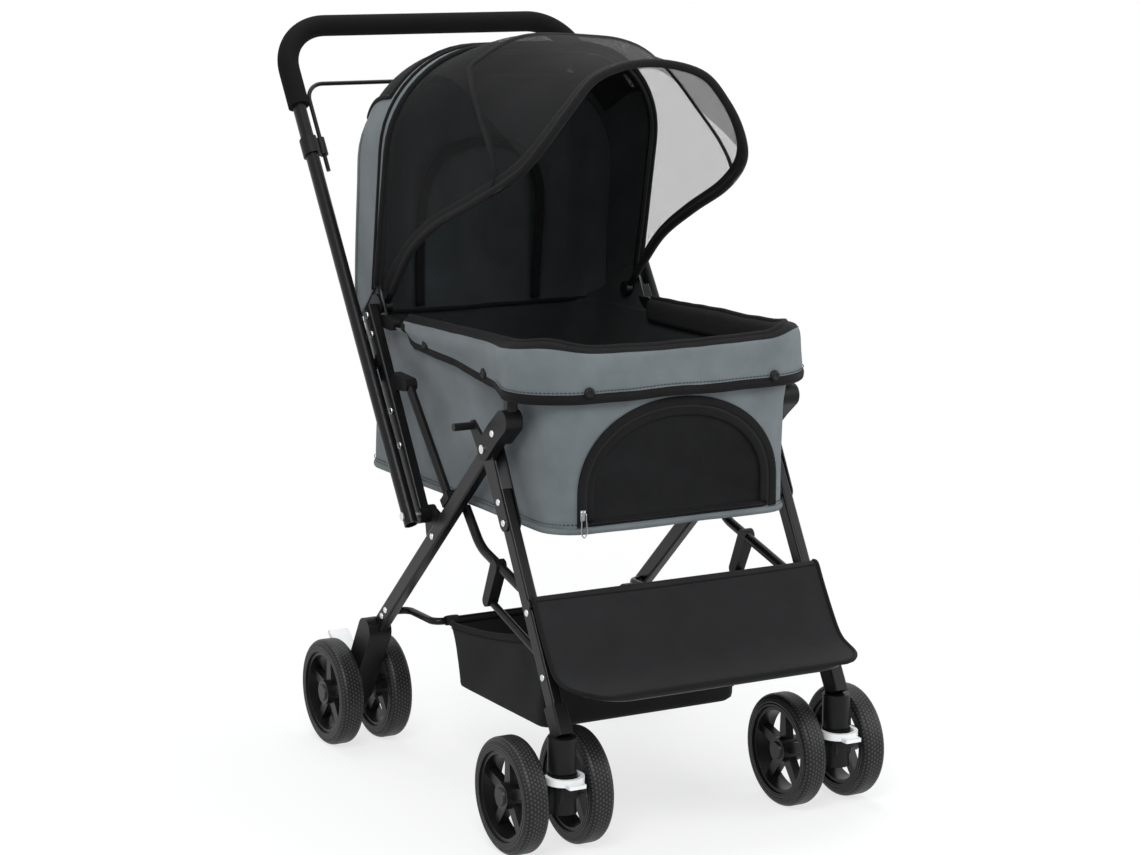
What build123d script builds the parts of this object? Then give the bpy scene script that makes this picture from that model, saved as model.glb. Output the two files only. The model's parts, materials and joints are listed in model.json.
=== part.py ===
from build123d import *
import math
import os

os.makedirs("parts", exist_ok=True)

# Pet stroller, millimetres: front is -Y, up is +Z, the ground is Z = 0.
# "left" and "right" are the pusher's own, so left is +X and right is -X.

# Clearances
RUNNING_FIT = 0.05      # radial, pins and axles that turn
SLIDING_FIT = 0.10      # radial, wire and trunnions
SEAT_GAP = 0.30         # pieces that rest on one another
SOFT_GAP = 0.50         # fabric beside a hard piece

# Wheels
WHEEL_DIAMETER = 150.0
TYRE_WIDTH = 33.0
TYRE_DEPTH = 17.0
TYRE_CROWN_FILLET = 9.0
RIM_WIDTH = 27.0
RIM_WALL = 5.0
HUB_RADIUS = 17.0
HUB_WIDTH = 30.0
HUB_CAP_RADIUS = 12.0
HUB_CAP_HEIGHT = 2.5
HUB_CAP_TAPER = 30.0
SPOKE_COUNT = 5
SPOKE_ROOT_WIDTH = 17.0
SPOKE_TIP_WIDTH = 11.0
SPOKE_THICKNESS = 12.0
AXLE_DIAMETER = 10.0
AXLE_END_WALL = 4.0
WHEEL_SIDE_GAP = 2.0

# Stance
LEG_X = 205.0
FRONT_STEM_Y = -361.0
CASTER_TRAIL = 47.0
FRONT_TWIN_SPACING = 92.0
REAR_HUB_X = 210.0
REAR_AXLE_Y = 232.0
REAR_TWIN_SPACING = 75.0

# Frame tube and the crossing point of the legs
TUBE_DEPTH = 22.0
TUBE_WIDTH = 15.0
TUBE_WALL = 1.5
TUBE_CORNER = 3.0
PIVOT_Y = -178.0
PIVOT_Z = 489.0
PIVOT_PIN_DIAMETER = 8.0
REAR_LEG_FALL = 42.2    # degrees below level, from the pivot to the rear
REAR_LEG_BELOW = 490.0
REAR_LEG_ABOVE = 36.0
FRONT_LEG_LEAN = 29.0   # degrees from upright
FRONT_LEG_START = 58.0  # below the pivot, clear of the rear leg when folded
PLATE_THICKNESS = 2.0
PLATE_EYE_RADIUS = 14.0
PLATE_REACH = 100.0

# Swivel casters
COLLAR_RADIUS = 18.0
COLLAR_BOTTOM = 111.5
COLLAR_TOP = 156.0
COLLAR_SLEEVE_LENGTH = 40.0
COLLAR_WALL = 2.5
STEM_DIAMETER = 12.0
STEM_TOP = 150.0
STEM_BOTTOM = 84.0
FORK_BOSS_RADIUS = 19.0
FORK_BOTTOM = 60.0
FORK_TOP = 110.0
FORK_WEB = 24.0
FORK_WEB_RADIUS = 18.0
FORK_AXLE_BOSS = 15.0
LOCK_PIVOT_Z = 104.0
LOCK_PIN_DIAMETER = 6.0
LOCK_BAND = 5.5
LOCK_HEIGHT = 9.0
LOCK_FRONT_ROOM = 7.0
LOCK_TOE_LENGTH = 8.0
LOCK_TOE_WIDTH = 24.0

# Rear hubs and brake pedals
REAR_HUB_WIDTH = 34.0
REAR_HUB_RADIUS = 16.0
HUB_SOCKET_DEPTH = 42.0
BRAKE_PIVOT_Y = 252.0
BRAKE_PIVOT_Z = 112.0
BRAKE_PIN_DIAMETER = 6.0
BRAKE_LUG_RADIUS = 8.0
BRAKE_LUG_WIDTH = 14.0
BRAKE_PEDAL_WIDTH = 30.0
BRAKE_EAR = 5.5
BRAKE_PAD_LENGTH = 44.0
BRAKE_PAD_THICKNESS = 7.0
BRAKE_PAD_ANGLE = 38.0

# Seat posts and handle
HANDLE_PIVOT_Y = 5.0
HANDLE_PIVOT_Z = 370.0
POST_X = 215.0
POST_LEAN = 31.0
POST_LENGTH = 303.0
POST_END_RADIUS = 12.0
SADDLE_ALONG = 216.0    # down the rear leg from the pivot
SADDLE_REACH = 26.0
HANDLE_X = 235.0
HANDLE_LEAN = 33.0
HANDLE_LENGTH = 751.0
HANDLE_DEPTH = 22.0
HANDLE_WIDTH = 18.0
HANDLE_WALL = 1.5
HANDLE_BEND = 72.0
HANDLE_FOOT = 13.0
GRIP_DIAMETER = 30.0
GRIP_LEG = 129.0        # down each leg from the top of the loop
GUIDE_BELOW_GRIP = 65.0
GUIDE_LENGTH = 26.0
GUIDE_WALL = 3.0
RELEASE_WIRE_DIAMETER = 6.0
RELEASE_WIRE_X = 216.5
RELEASE_BELOW_TOP = 94.0
RELEASE_WIRE_TAIL = 25.0
RELEASE_BEND = 26.0
CATCH_PLACE = 222.0
PEG_Y = -150.0
PEG_Z = 515.0
PEG_DIAMETER = 10.0
PEG_END_X = 246.0

# Seat rim and its uprights
RIM_BELOW_HINGE = 17.7  # below the canopy's hinge at the post's top
RIM_TUBE_DIAMETER = 14.0
RIM_HALF_WIDTH = 190.0
RIM_FRONT_Y = -293.0
RIM_AHEAD_OF_HINGE = 33.0
RIM_BEND = 62.0
UPRIGHT_Y = -228.0
UPRIGHT_FOOT_Z = 524.0
UPRIGHT_ABOVE_RIM = 4.0
UPRIGHT_SIZE = 15.0
BLOCK_RADIUS = 15.0
CHEEK_THICKNESS = 4.0

# Side struts and braces
STRUT_DIAMETER = 12.0
STRUT_TOP_Y = 62.0
STRUT_TOP_Z = 536.0
STRUT_FOOT_ALONG = 150.0
BRACE_DIAMETER = 13.0
BRACE_X = 188.0
BRACE_REAR_ALONG = 146.0
BRACE_BEND_Y = -112.0
BRACE_BEND_Z = 345.0
BRACE_BEND_RADIUS = 60.0
BRACE_FRONT_ALONG = 219.0
SPACER_RADIUS = 4.0     # bosses that stand the brace and the footrest tube off the leg
FITTING_SHARE = 0.3     # place of the footrest clip along the brace's lower run

# Footrest
FOOT_BAR_ALONG = 212.0
FOOT_BAR_DIAMETER = 10.0
FOOT_BAR_HALF = 217.0
FOOT_TUBE_DIAMETER = 10.0
FOOT_TUBE_X = 189.0
FOOT_TUBE_REAR_Y = -140.0
FOOT_TUBE_REAR_Z = 280.0
FOOT_TUBE_KNEE_Y = -335.0
FOOT_TUBE_KNEE_Z = 219.0
FOOT_TUBE_FRONT_Y = -424.0
FOOT_TUBE_FRONT_Z = 214.0
FOOT_TUBE_BEND = 52.0
FOOT_CLOTH = 2.5
FOOT_CLOTH_HALF_TOP = 212.0
FOOT_CLOTH_HALF_LOW = 178.0

# Storage basket
BASKET_TUBE_DIAMETER = 10.0
BASKET_TUBE_X = 178.0
BASKET_TUBE_Z = 208.0
BASKET_TUBE_REAR_Y = 128.0
BASKET_TUBE_FRONT_Y = 46.0
BASKET_TUBE_BEND = 14.0
BASKET_HALF_WIDTH = 162.0
BASKET_REAR_Z = 207.0
BASKET_FRONT_Y = -222.0
BASKET_FRONT_Z = 246.0
BASKET_BOTTOM_Z = 112.0
BASKET_DRAW_IN = 14.0
BASKET_CLOTH = 3.0

# Cabin
CABIN_BOTTOM_Z = 392.0
CABIN_WAIST_Z = 530.0
CABIN_HALF_BOTTOM = 176.0
CABIN_HALF_WAIST = 177.0
CABIN_HALF_TOP = 192.0
CABIN_FRONT_Y = -296.0
CABIN_REAR_Y = 266.0
CABIN_CORNER = 46.0
CABIN_CLOTH = 4.0
FLOOR_BOARD = 4.0
DOOR_HALF_WIDTH = 136.0
DOOR_BOTTOM_Z = 402.0
DOOR_TOP_Z = 545.0
DOOR_SHOULDER_Z = 455.0
DOOR_THICKNESS = 3.0

# Canopy
BOW_DIAMETER = 8.0
BOW_EYE_RADIUS = 10.0
BOW_PIN_DIAMETER = 8.0
HOOD_HUB_RADIUS = 17.0
MAIN_BOW_X = 201.0
MAIN_BOW_ANGLE = 101.5
MAIN_BOW_HALF = 203.0
MAIN_BOW_APEX = 352.0
MAIN_BOW_BEND = 135.0
FRONT_BOW_X = 191.0
FRONT_BOW_HALF = 196.0
FRONT_BOW_REACH = 508.0
FRONT_BOW_ANGLE = 137.7
# Left half of the front bow from its eye upward: share of the half width, share of the reach, angle
FRONT_BOW_LINE = ((0.985, 0.118, 135.0), (0.995, 0.250, 136.5), (1.000, 0.417, 142.8),
                  (0.949, 0.618, 147.9), (0.847, 0.785, 148.8), (0.740, 0.874, 146.5),
                  (0.587, 0.941, 143.0), (0.378, 0.990, 139.4))
VISOR_NARROWING = 4.0   # from the main bow to the visor's middle
VISOR_SWELL = 6.0
VISOR_BEND = 178.0
VISOR_END_ANGLE = 153.0
VISOR_FOOT_SHARE = 0.055  # share of the front bow's length below the mesh, at each end
VISOR_BROW_SHARE = 0.42   # share of its length where the edge turns level
VISOR_STEP_COUNT = 20
REAR_ARCH_ANGLE = 73.0
REAR_ARCH_HALF = 196.0
REAR_ARCH_APEX = 318.0
REAR_ARCH_BEND = 130.0
REAR_BASE_ANGLE = -11.0
REAR_BASE_HALF = 190.0
REAR_BASE_APEX = 105.0
REAR_BASE_BEND = 40.0
HOOD_CLOTH = 2.5
HOOD_START = 48.0
HOOD_SEAM_GAP = 0.8     # degrees on each side of the main bow

# Rivets
RIVET_HEAD_RADIUS = 4.5
RIVET_HEAD_HEIGHT = 1.8
RIVET_ROUNDING = 1.4
HUB_RIVET_UP = 60.0     # above the rear leg's lower end
HUB_RIVET_PITCH = 16.0
POST_RIVET_DOWN = 12.0  # below the post's upper end
POST_RIVET_PITCH = 28.0
CAP_RIVET_UP = 150.0    # above the post's lower end
CAP_RIVET_PITCH = 50.0
PLATE_RIVET_DOWN = 14.0
COLLAR_RIVET_UP = 74.0

# Worked out from the sizes above
WHEEL_RADIUS = WHEEL_DIAMETER / 2
AXLE_Z = WHEEL_RADIUS
AXLE_RADIUS = AXLE_DIAMETER / 2
RIM_RADIUS = WHEEL_RADIUS - TYRE_DEPTH
FRONT_AXLE_Y = FRONT_STEM_Y + CASTER_TRAIL
LEG_INNER_X = LEG_X - TUBE_WIDTH / 2
LEG_OUTER_X = LEG_X + TUBE_WIDTH / 2
POST_INNER_X = POST_X - TUBE_WIDTH / 2
POST_OUTER_X = POST_X + TUBE_WIDTH / 2
HANDLE_INNER_X = HANDLE_X - HANDLE_WIDTH / 2
RIM_TUBE_RADIUS = RIM_TUBE_DIAMETER / 2
PLATE_OUTER_X = LEG_OUTER_X + SEAT_GAP
PLATE_INNER_X = LEG_INNER_X - SEAT_GAP - PLATE_THICKNESS
CHEEK_X = PLATE_OUTER_X + PLATE_THICKNESS + SEAT_GAP
BASKET_REAR_Y = BASKET_TUBE_FRONT_Y - BASKET_TUBE_DIAMETER / 2 - SOFT_GAP
GRIP_START = HANDLE_LENGTH - GRIP_LEG
GUIDE_PLACE = GRIP_START - GUIDE_BELOW_GRIP
RELEASE_BAR_PLACE = HANDLE_LENGTH - RELEASE_BELOW_TOP


def direction(angle):
    """Unit (y, z) at an angle in degrees from +Y towards +Z."""
    turn = math.radians(angle)
    return math.cos(turn), math.sin(turn)


def along(start, angle, distance):
    """The (y, z) point at a distance from a start, along an angle."""
    y_part, z_part = direction(angle)
    return start[0] + distance * y_part, start[1] + distance * z_part


PIVOT = (PIVOT_Y, PIVOT_Z)
HANDLE_PIVOT = (HANDLE_PIVOT_Y, HANDLE_PIVOT_Z)
REAR_LEG_WAY = -REAR_LEG_FALL
FRONT_LEG_WAY = -90 - FRONT_LEG_LEAN
POST_WAY = 90 - POST_LEAN
HANDLE_WAY = 90 - HANDLE_LEAN
POST_TOP = along(HANDLE_PIVOT, POST_WAY, POST_LENGTH)
FRONT_LEG_KNEE = (FRONT_STEM_Y - PIVOT_Y) / direction(FRONT_LEG_WAY)[0]
RIM_Z = POST_TOP[1] - RIM_BELOW_HINGE
RIM_REAR_Y = POST_TOP[0] - RIM_AHEAD_OF_HINGE
UPRIGHT_TOP_Z = RIM_Z + UPRIGHT_ABOVE_RIM
CABIN_TOP_Z = RIM_Z - RIM_TUBE_RADIUS - SOFT_GAP


def rear_leg_point(distance):
    return along(PIVOT, REAR_LEG_WAY, distance)


def front_leg_point(distance):
    return along(PIVOT, FRONT_LEG_WAY, distance)


def post_point(distance):
    return along(HANDLE_PIVOT, POST_WAY, distance)


def side_plane(x):
    """A sketch plane at one x, with local axes (y, z)."""
    return Plane(origin=(x, 0, 0), x_dir=(0, 1, 0), z_dir=(1, 0, 0))


def slab(sketch, x_from, x_to):
    """A side-view sketch given its thickness between two x places."""
    return extrude(side_plane(x_from) * sketch, amount=x_to - x_from)


def disc(centre, radius):
    return Pos(*centre) * Circle(radius)


def link(first, first_radius, second, second_radius):
    """Side-view outline around two circles."""
    return make_hull((disc(first, first_radius) + disc(second, second_radius)).edges())


def cross_pin(centre, radius, x_from, x_to):
    return slab(disc(centre, radius), x_from, x_to)


def cross_frame(start, angle, x):
    """A plane square to a side-view line: local x is X, local z is the line."""
    y_part, z_part = direction(angle)
    return Plane(origin=(x, *start), x_dir=(1, 0, 0), z_dir=(0, y_part, z_part))


def box_tube(start, angle, length, x, depth=TUBE_DEPTH, width=TUBE_WIDTH):
    """Hollow rounded-rectangle tube that runs in a side plane."""
    outer = RectangleRounded(width, depth, TUBE_CORNER)
    inner = Rectangle(width - 2 * TUBE_WALL, depth - 2 * TUBE_WALL)
    return extrude(cross_frame(start, angle, x) * (outer - inner), amount=length)


def box_bar(start, angle, length, x, depth, width):
    """Solid bar that runs in a side plane, used for sockets and sleeves."""
    return extrude(cross_frame(start, angle, x) * Rectangle(width, depth), amount=length)


def round_tube(points, radii, diameter, wall=TUBE_WALL):
    """Hollow round tube along straight runs with bends."""
    path = FilletPolyline(*points, radius=radii)
    start = Plane(origin=path @ 0, z_dir=path % 0)
    return sweep(start * (Circle(diameter / 2) - Circle(diameter / 2 - wall)), path=path)


def solid_rod(points, radii, diameter):
    path = FilletPolyline(*points, radius=radii)
    start = Plane(origin=path @ 0, z_dir=path % 0)
    return sweep(start * Circle(diameter / 2), path=path)


def straight_rod(start, end, diameter):
    run = Vector(*end) - Vector(*start)
    return extrude(Plane(origin=start, z_dir=run) * Circle(diameter / 2), amount=run.length)


def on_both_sides(*solids):
    """Left-hand solids together with their right-hand mirror images."""
    return Compound(list(solids) + [mirror(solid, about=Plane.YZ) for solid in solids])


def on_right(solid):
    return mirror(solid, about=Plane.YZ)


# Wheels
def tyre():
    """Tyre on the X axis, centred at the origin, with a rounded crown."""
    seat = RIM_RADIUS + RUNNING_FIT
    profile = Pos(0, (seat + WHEEL_RADIUS) / 2) * Rectangle(TYRE_WIDTH, WHEEL_RADIUS - seat)
    crown = profile.vertices().group_by(Axis.Y)[-1]
    return revolve(fillet(crown, TYRE_CROWN_FILLET), axis=Axis.X)


def wheel_rim():
    """Five-spoke rim on the X axis whose capped face looks along +X."""
    axis = Plane.YZ
    ring = Circle(RIM_RADIUS) - Circle(RIM_RADIUS - RIM_WALL)
    barrel = extrude(axis * ring, amount=RIM_WIDTH / 2, both=True)
    hub = extrude(axis * Circle(HUB_RADIUS), amount=HUB_WIDTH / 2, both=True)
    cap = extrude(axis.offset(HUB_WIDTH / 2) * Circle(HUB_CAP_RADIUS), amount=HUB_CAP_HEIGHT,
                  taper=HUB_CAP_TAPER)
    reach = RIM_RADIUS - RIM_WALL / 2
    spoke_face = make_face(Polyline(
        (-SPOKE_ROOT_WIDTH / 2, 0), (SPOKE_ROOT_WIDTH / 2, 0),
        (SPOKE_TIP_WIDTH / 2, reach), (-SPOKE_TIP_WIDTH / 2, reach), close=True))
    rim = barrel + hub + cap
    for number in range(SPOKE_COUNT):
        turned = Rot(0, 0, number * 360 / SPOKE_COUNT) * spoke_face
        rim += extrude(axis * turned, amount=SPOKE_THICKNESS / 2, both=True)
    bore_end = HUB_WIDTH / 2 - AXLE_END_WALL
    bore = extrude(axis.offset(-HUB_WIDTH / 2) * Circle(AXLE_RADIUS + RUNNING_FIT),
                   amount=bore_end + HUB_WIDTH / 2)
    return rim - bore


def wheel_places():
    """Name, place and outward side of each of the eight wheels."""
    places = []
    pairs = (("front", LEG_X, FRONT_AXLE_Y, FRONT_TWIN_SPACING),
             ("rear", REAR_HUB_X, REAR_AXLE_Y, REAR_TWIN_SPACING))
    for end, centre_x, axle_y, spacing in pairs:
        for side, sign in (("left", 1), ("right", -1)):
            for place, outward in (("outer", 1), ("inner", -1)):
                x = sign * (centre_x + outward * spacing / 2)
                places.append((f"{end}_{side}_{place}", (x, axle_y, AXLE_Z), sign * outward))
    return places


def axle(centre_x, axle_y, spacing):
    """One axle that carries a twin pair of wheels."""
    half = spacing / 2 + HUB_WIDTH / 2 - AXLE_END_WALL - SEAT_GAP
    return cross_pin((axle_y, AXLE_Z), AXLE_RADIUS, centre_x - half, centre_x + half)


# Swivel casters, left side
def caster_fork():
    stem_place = Pos(LEG_X, FRONT_STEM_Y, 0)
    boss = stem_place * extrude(
        Pos(0, 0, FORK_BOTTOM) * Circle(FORK_BOSS_RADIUS), amount=FORK_TOP - FORK_BOTTOM)
    web_high = (FRONT_STEM_Y, (FORK_TOP + FORK_BOTTOM) / 2)
    web = slab(link(web_high, FORK_WEB_RADIUS, (FRONT_AXLE_Y, AXLE_Z), FORK_AXLE_BOSS),
               LEG_X - FORK_WEB / 2, LEG_X + FORK_WEB / 2)
    boss_half = (FRONT_TWIN_SPACING - HUB_WIDTH) / 2 - WHEEL_SIDE_GAP
    axle_boss = cross_pin((FRONT_AXLE_Y, AXLE_Z), FORK_AXLE_BOSS, LEG_X - boss_half, LEG_X + boss_half)
    trunnion_reach = FORK_BOSS_RADIUS + SLIDING_FIT + LOCK_BAND
    trunnions = cross_pin((FRONT_STEM_Y, LOCK_PIVOT_Z), LOCK_PIN_DIAMETER / 2,
                          LEG_X - trunnion_reach, LEG_X + trunnion_reach)
    stem_bore = stem_place * extrude(
        Pos(0, 0, STEM_BOTTOM) * Circle(STEM_DIAMETER / 2 + RUNNING_FIT), amount=FORK_TOP - STEM_BOTTOM)
    axle_bore = cross_pin((FRONT_AXLE_Y, AXLE_Z), AXLE_RADIUS + RUNNING_FIT,
                          LEG_X - boss_half, LEG_X + boss_half)
    return boss + web + axle_boss + trunnions - stem_bore - axle_bore


def caster_stem():
    return Pos(LEG_X, FRONT_STEM_Y, 0) * extrude(
        Pos(0, 0, STEM_BOTTOM) * Circle(STEM_DIAMETER / 2), amount=STEM_TOP - STEM_BOTTOM)


def caster_lock():
    """C-shaped toe lever that straddles the fork head and turns on its trunnions."""
    inner = FORK_BOSS_RADIUS + SEAT_GAP
    outer = inner + LOCK_BAND
    forward = (0, -LOCK_FRONT_ROOM)
    ring = make_hull((Circle(outer) + disc(forward, outer)).edges())
    ring -= make_hull((Circle(inner) + disc(forward, inner)).edges())
    ring -= Pos(0, outer + LOCK_PIN_DIAMETER) * Rectangle(3 * outer, 2 * outer)
    toe = Pos(0, -LOCK_FRONT_ROOM - outer - LOCK_TOE_LENGTH / 2) * RectangleRounded(
        LOCK_TOE_WIDTH, LOCK_TOE_LENGTH + LOCK_BAND, LOCK_BAND / 2)
    lever = extrude(Pos(0, 0, -LOCK_HEIGHT / 2) * ring, amount=LOCK_HEIGHT)
    lever += extrude(Pos(0, 0, -LOCK_HEIGHT / 2) * toe, amount=LOCK_HEIGHT / 2)
    placed = Pos(LEG_X, FRONT_STEM_Y, LOCK_PIVOT_Z) * lever
    hole = cross_pin((FRONT_STEM_Y, LOCK_PIVOT_Z), LOCK_PIN_DIAMETER / 2 + SLIDING_FIT,
                     LEG_X - 2 * outer, LEG_X + 2 * outer)
    return placed - hole


# Front legs
def front_leg():
    sleeve_end = FRONT_LEG_KNEE - COLLAR_WALL
    return box_tube(front_leg_point(FRONT_LEG_START), FRONT_LEG_WAY, sleeve_end - FRONT_LEG_START, LEG_X)


def front_collar():
    """Moulded foot that takes the leaning leg above and the caster stem below."""
    upright = Pos(LEG_X, FRONT_STEM_Y, COLLAR_BOTTOM) * extrude(
        Circle(COLLAR_RADIUS), amount=COLLAR_TOP - COLLAR_BOTTOM)
    sleeve_start = front_leg_point(FRONT_LEG_KNEE + COLLAR_WALL)
    sleeve = box_bar(sleeve_start, FRONT_LEG_WAY + 180, COLLAR_SLEEVE_LENGTH, LEG_X,
                     TUBE_DEPTH + 2 * COLLAR_WALL, TUBE_WIDTH + 2 * COLLAR_WALL)
    sleeve = fillet(sleeve.edges().filter_by(Axis.X, reverse=True).group_by(SortBy.LENGTH)[-1], COLLAR_WALL)
    stem_bore = Pos(LEG_X, FRONT_STEM_Y, COLLAR_BOTTOM) * extrude(
        Circle(STEM_DIAMETER / 2 + RUNNING_FIT), amount=STEM_TOP - COLLAR_BOTTOM + RUNNING_FIT)
    socket = box_bar(front_leg_point(FRONT_LEG_KNEE - COLLAR_WALL + SLIDING_FIT), FRONT_LEG_WAY + 180,
                     2 * COLLAR_SLEEVE_LENGTH, LEG_X, TUBE_DEPTH + 2 * SLIDING_FIT,
                     TUBE_WIDTH + 2 * SLIDING_FIT)
    return upright + sleeve - stem_bore - socket


def leg_plates():
    """Stamped plates that carry the front leg on both sides of the rear leg."""
    outline = link(PIVOT, PLATE_EYE_RADIUS, front_leg_point(PLATE_REACH), TUBE_DEPTH / 2)
    outline -= disc(PIVOT, PIVOT_PIN_DIAMETER / 2 + RUNNING_FIT)
    outer = slab(outline, PLATE_OUTER_X, PLATE_OUTER_X + PLATE_THICKNESS)
    inner = slab(outline, PLATE_INNER_X, PLATE_INNER_X + PLATE_THICKNESS)
    return outer, inner


def brace():
    """Bent side brace from beside the rear leg down to the front leg."""
    rear = rear_leg_point(BRACE_REAR_ALONG)
    front = front_leg_point(BRACE_FRONT_ALONG)
    points = [(BRACE_X, *rear), (BRACE_X, BRACE_BEND_Y, BRACE_BEND_Z), (BRACE_X, *front)]
    boss = cross_pin(front, SPACER_RADIUS, BRACE_X, LEG_INNER_X - SEAT_GAP)
    return round_tube(points, BRACE_BEND_RADIUS, BRACE_DIAMETER) + boss


def brace_fitting():
    """Moulded clip under the brace that holds the rear end of the footrest tube."""
    front = front_leg_point(BRACE_FRONT_ALONG)
    bend = (BRACE_BEND_Y, BRACE_BEND_Z)
    on_brace = [start + FITTING_SHARE * (end - start) for start, end in zip(bend, front)]
    body = slab(link(on_brace, BRACE_DIAMETER / 2 + COLLAR_WALL,
                     (FOOT_TUBE_REAR_Y, FOOT_TUBE_REAR_Z), FOOT_TUBE_DIAMETER / 2 + COLLAR_WALL),
                BRACE_X - BRACE_DIAMETER / 2, BRACE_X + BRACE_DIAMETER / 2 + COLLAR_WALL)
    room = solid_rod([(BRACE_X, *rear_leg_point(BRACE_REAR_ALONG)), (BRACE_X, *bend), (BRACE_X, *front)],
                     BRACE_BEND_RADIUS, BRACE_DIAMETER + 2 * SLIDING_FIT)
    socket = straight_rod((FOOT_TUBE_X, FOOT_TUBE_REAR_Y, FOOT_TUBE_REAR_Z),
                          (FOOT_TUBE_X, FOOT_TUBE_KNEE_Y, FOOT_TUBE_KNEE_Z),
                          FOOT_TUBE_DIAMETER + 2 * SLIDING_FIT)
    return body - room - socket


# Footrest
def foot_bar_centre():
    lift = TUBE_DEPTH / 2 + FOOT_BAR_DIAMETER / 2 + SEAT_GAP
    return along(front_leg_point(FOOT_BAR_ALONG), FRONT_LEG_WAY - 90, lift)


def footrest_tubes():
    y, z = foot_bar_centre()
    bar = straight_rod((-FOOT_BAR_HALF, y, z), (FOOT_BAR_HALF, y, z), FOOT_BAR_DIAMETER)
    half = [(FOOT_TUBE_X, FOOT_TUBE_REAR_Y, FOOT_TUBE_REAR_Z),
            (FOOT_TUBE_X, FOOT_TUBE_KNEE_Y, FOOT_TUBE_KNEE_Z),
            (FOOT_TUBE_X, FOOT_TUBE_FRONT_Y, FOOT_TUBE_FRONT_Z)]
    points = half + [(-x, y, z) for x, y, z in reversed(half)]
    tray = round_tube(points, FOOT_TUBE_BEND, FOOT_TUBE_DIAMETER)
    rise = (FOOT_TUBE_KNEE_Y - FOOT_TUBE_REAR_Y) / (FOOT_TUBE_KNEE_Z - FOOT_TUBE_REAR_Z)
    slant = direction(FRONT_LEG_WAY)
    meet = (FOOT_TUBE_REAR_Y - PIVOT_Y - rise * (FOOT_TUBE_REAR_Z - PIVOT_Z)) / (slant[0] - rise * slant[1])
    boss = cross_pin(front_leg_point(meet), SPACER_RADIUS, FOOT_TUBE_X, LEG_INNER_X - SEAT_GAP)
    return Compound([bar, tray + boss + on_right(boss)])


def footrest_fabric():
    """Sloping cloth from the upper bar down to the tray, then level to its front edge."""
    bar_y, bar_z = foot_bar_centre()
    lift = FOOT_BAR_DIAMETER / 2 + SOFT_GAP
    top = along((bar_y, bar_z), FRONT_LEG_WAY - 90, lift)
    tray_z = FOOT_TUBE_FRONT_Z + FOOT_TUBE_DIAMETER / 2 + SOFT_GAP
    front_y = FOOT_TUBE_FRONT_Y - FOOT_TUBE_DIAMETER / 2
    knee = (FOOT_TUBE_KNEE_Y - TUBE_DEPTH, tray_z + FOOT_TUBE_DIAMETER / 2)
    ribbon = make_face(Polyline(top, knee, (front_y, tray_z), (front_y, tray_z + FOOT_CLOTH),
                                (knee[0] - FOOT_CLOTH, knee[1] + FOOT_CLOTH),
                                (top[0] - FOOT_CLOTH, top[1]), close=True))
    sheet = slab(ribbon, -FOOT_CLOTH_HALF_TOP, FOOT_CLOTH_HALF_TOP)
    plan = make_face(Polyline(
        (-FOOT_CLOTH_HALF_TOP, 0), (FOOT_CLOTH_HALF_TOP, 0), (FOOT_CLOTH_HALF_TOP, knee[0]),
        (FOOT_CLOTH_HALF_LOW, front_y), (-FOOT_CLOTH_HALF_LOW, front_y), (-FOOT_CLOTH_HALF_TOP, knee[0]),
        close=True))
    return sheet & extrude(plan, amount=CABIN_BOTTOM_Z)


# Rear legs
def rear_leg():
    tube = box_tube(rear_leg_point(-REAR_LEG_ABOVE), REAR_LEG_WAY, REAR_LEG_ABOVE + REAR_LEG_BELOW, LEG_X)
    return tube - cross_pin(PIVOT, PIVOT_PIN_DIAMETER / 2 + RUNNING_FIT, 0, PEG_END_X)


def brake_pivot():
    return BRAKE_PIVOT_Y, BRAKE_PIVOT_Z


def rear_hub():
    """Moulded foot on the rear leg that carries the axle and the brake pedal."""
    half = REAR_HUB_WIDTH / 2
    shoulder = rear_leg_point(REAR_LEG_BELOW - HUB_SOCKET_DEPTH / 2)
    body = slab(link(shoulder, REAR_HUB_RADIUS + COLLAR_WALL, (REAR_AXLE_Y, AXLE_Z), REAR_HUB_RADIUS),
                REAR_HUB_X - half, REAR_HUB_X + half)
    lug_half = BRAKE_LUG_WIDTH / 2
    lug = slab(link(brake_pivot(), BRAKE_LUG_RADIUS, (REAR_AXLE_Y, AXLE_Z), BRAKE_LUG_RADIUS),
               REAR_HUB_X - lug_half, REAR_HUB_X + lug_half)
    pin_half = BRAKE_PEDAL_WIDTH / 2
    pin = cross_pin(brake_pivot(), BRAKE_PIN_DIAMETER / 2, REAR_HUB_X - pin_half, REAR_HUB_X + pin_half)
    room = slab(disc(brake_pivot(), BRAKE_LUG_RADIUS + WHEEL_SIDE_GAP), REAR_HUB_X - half, REAR_HUB_X + half)
    socket = box_bar(rear_leg_point(REAR_LEG_BELOW + SLIDING_FIT), REAR_LEG_WAY + 180, 2 * HUB_SOCKET_DEPTH,
                     LEG_X, TUBE_DEPTH + 2 * SLIDING_FIT, TUBE_WIDTH + 2 * SLIDING_FIT)
    bore = cross_pin((REAR_AXLE_Y, AXLE_Z), AXLE_RADIUS + RUNNING_FIT, REAR_HUB_X - half, REAR_HUB_X + half)
    return body - room + lug + pin - socket - bore


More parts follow.
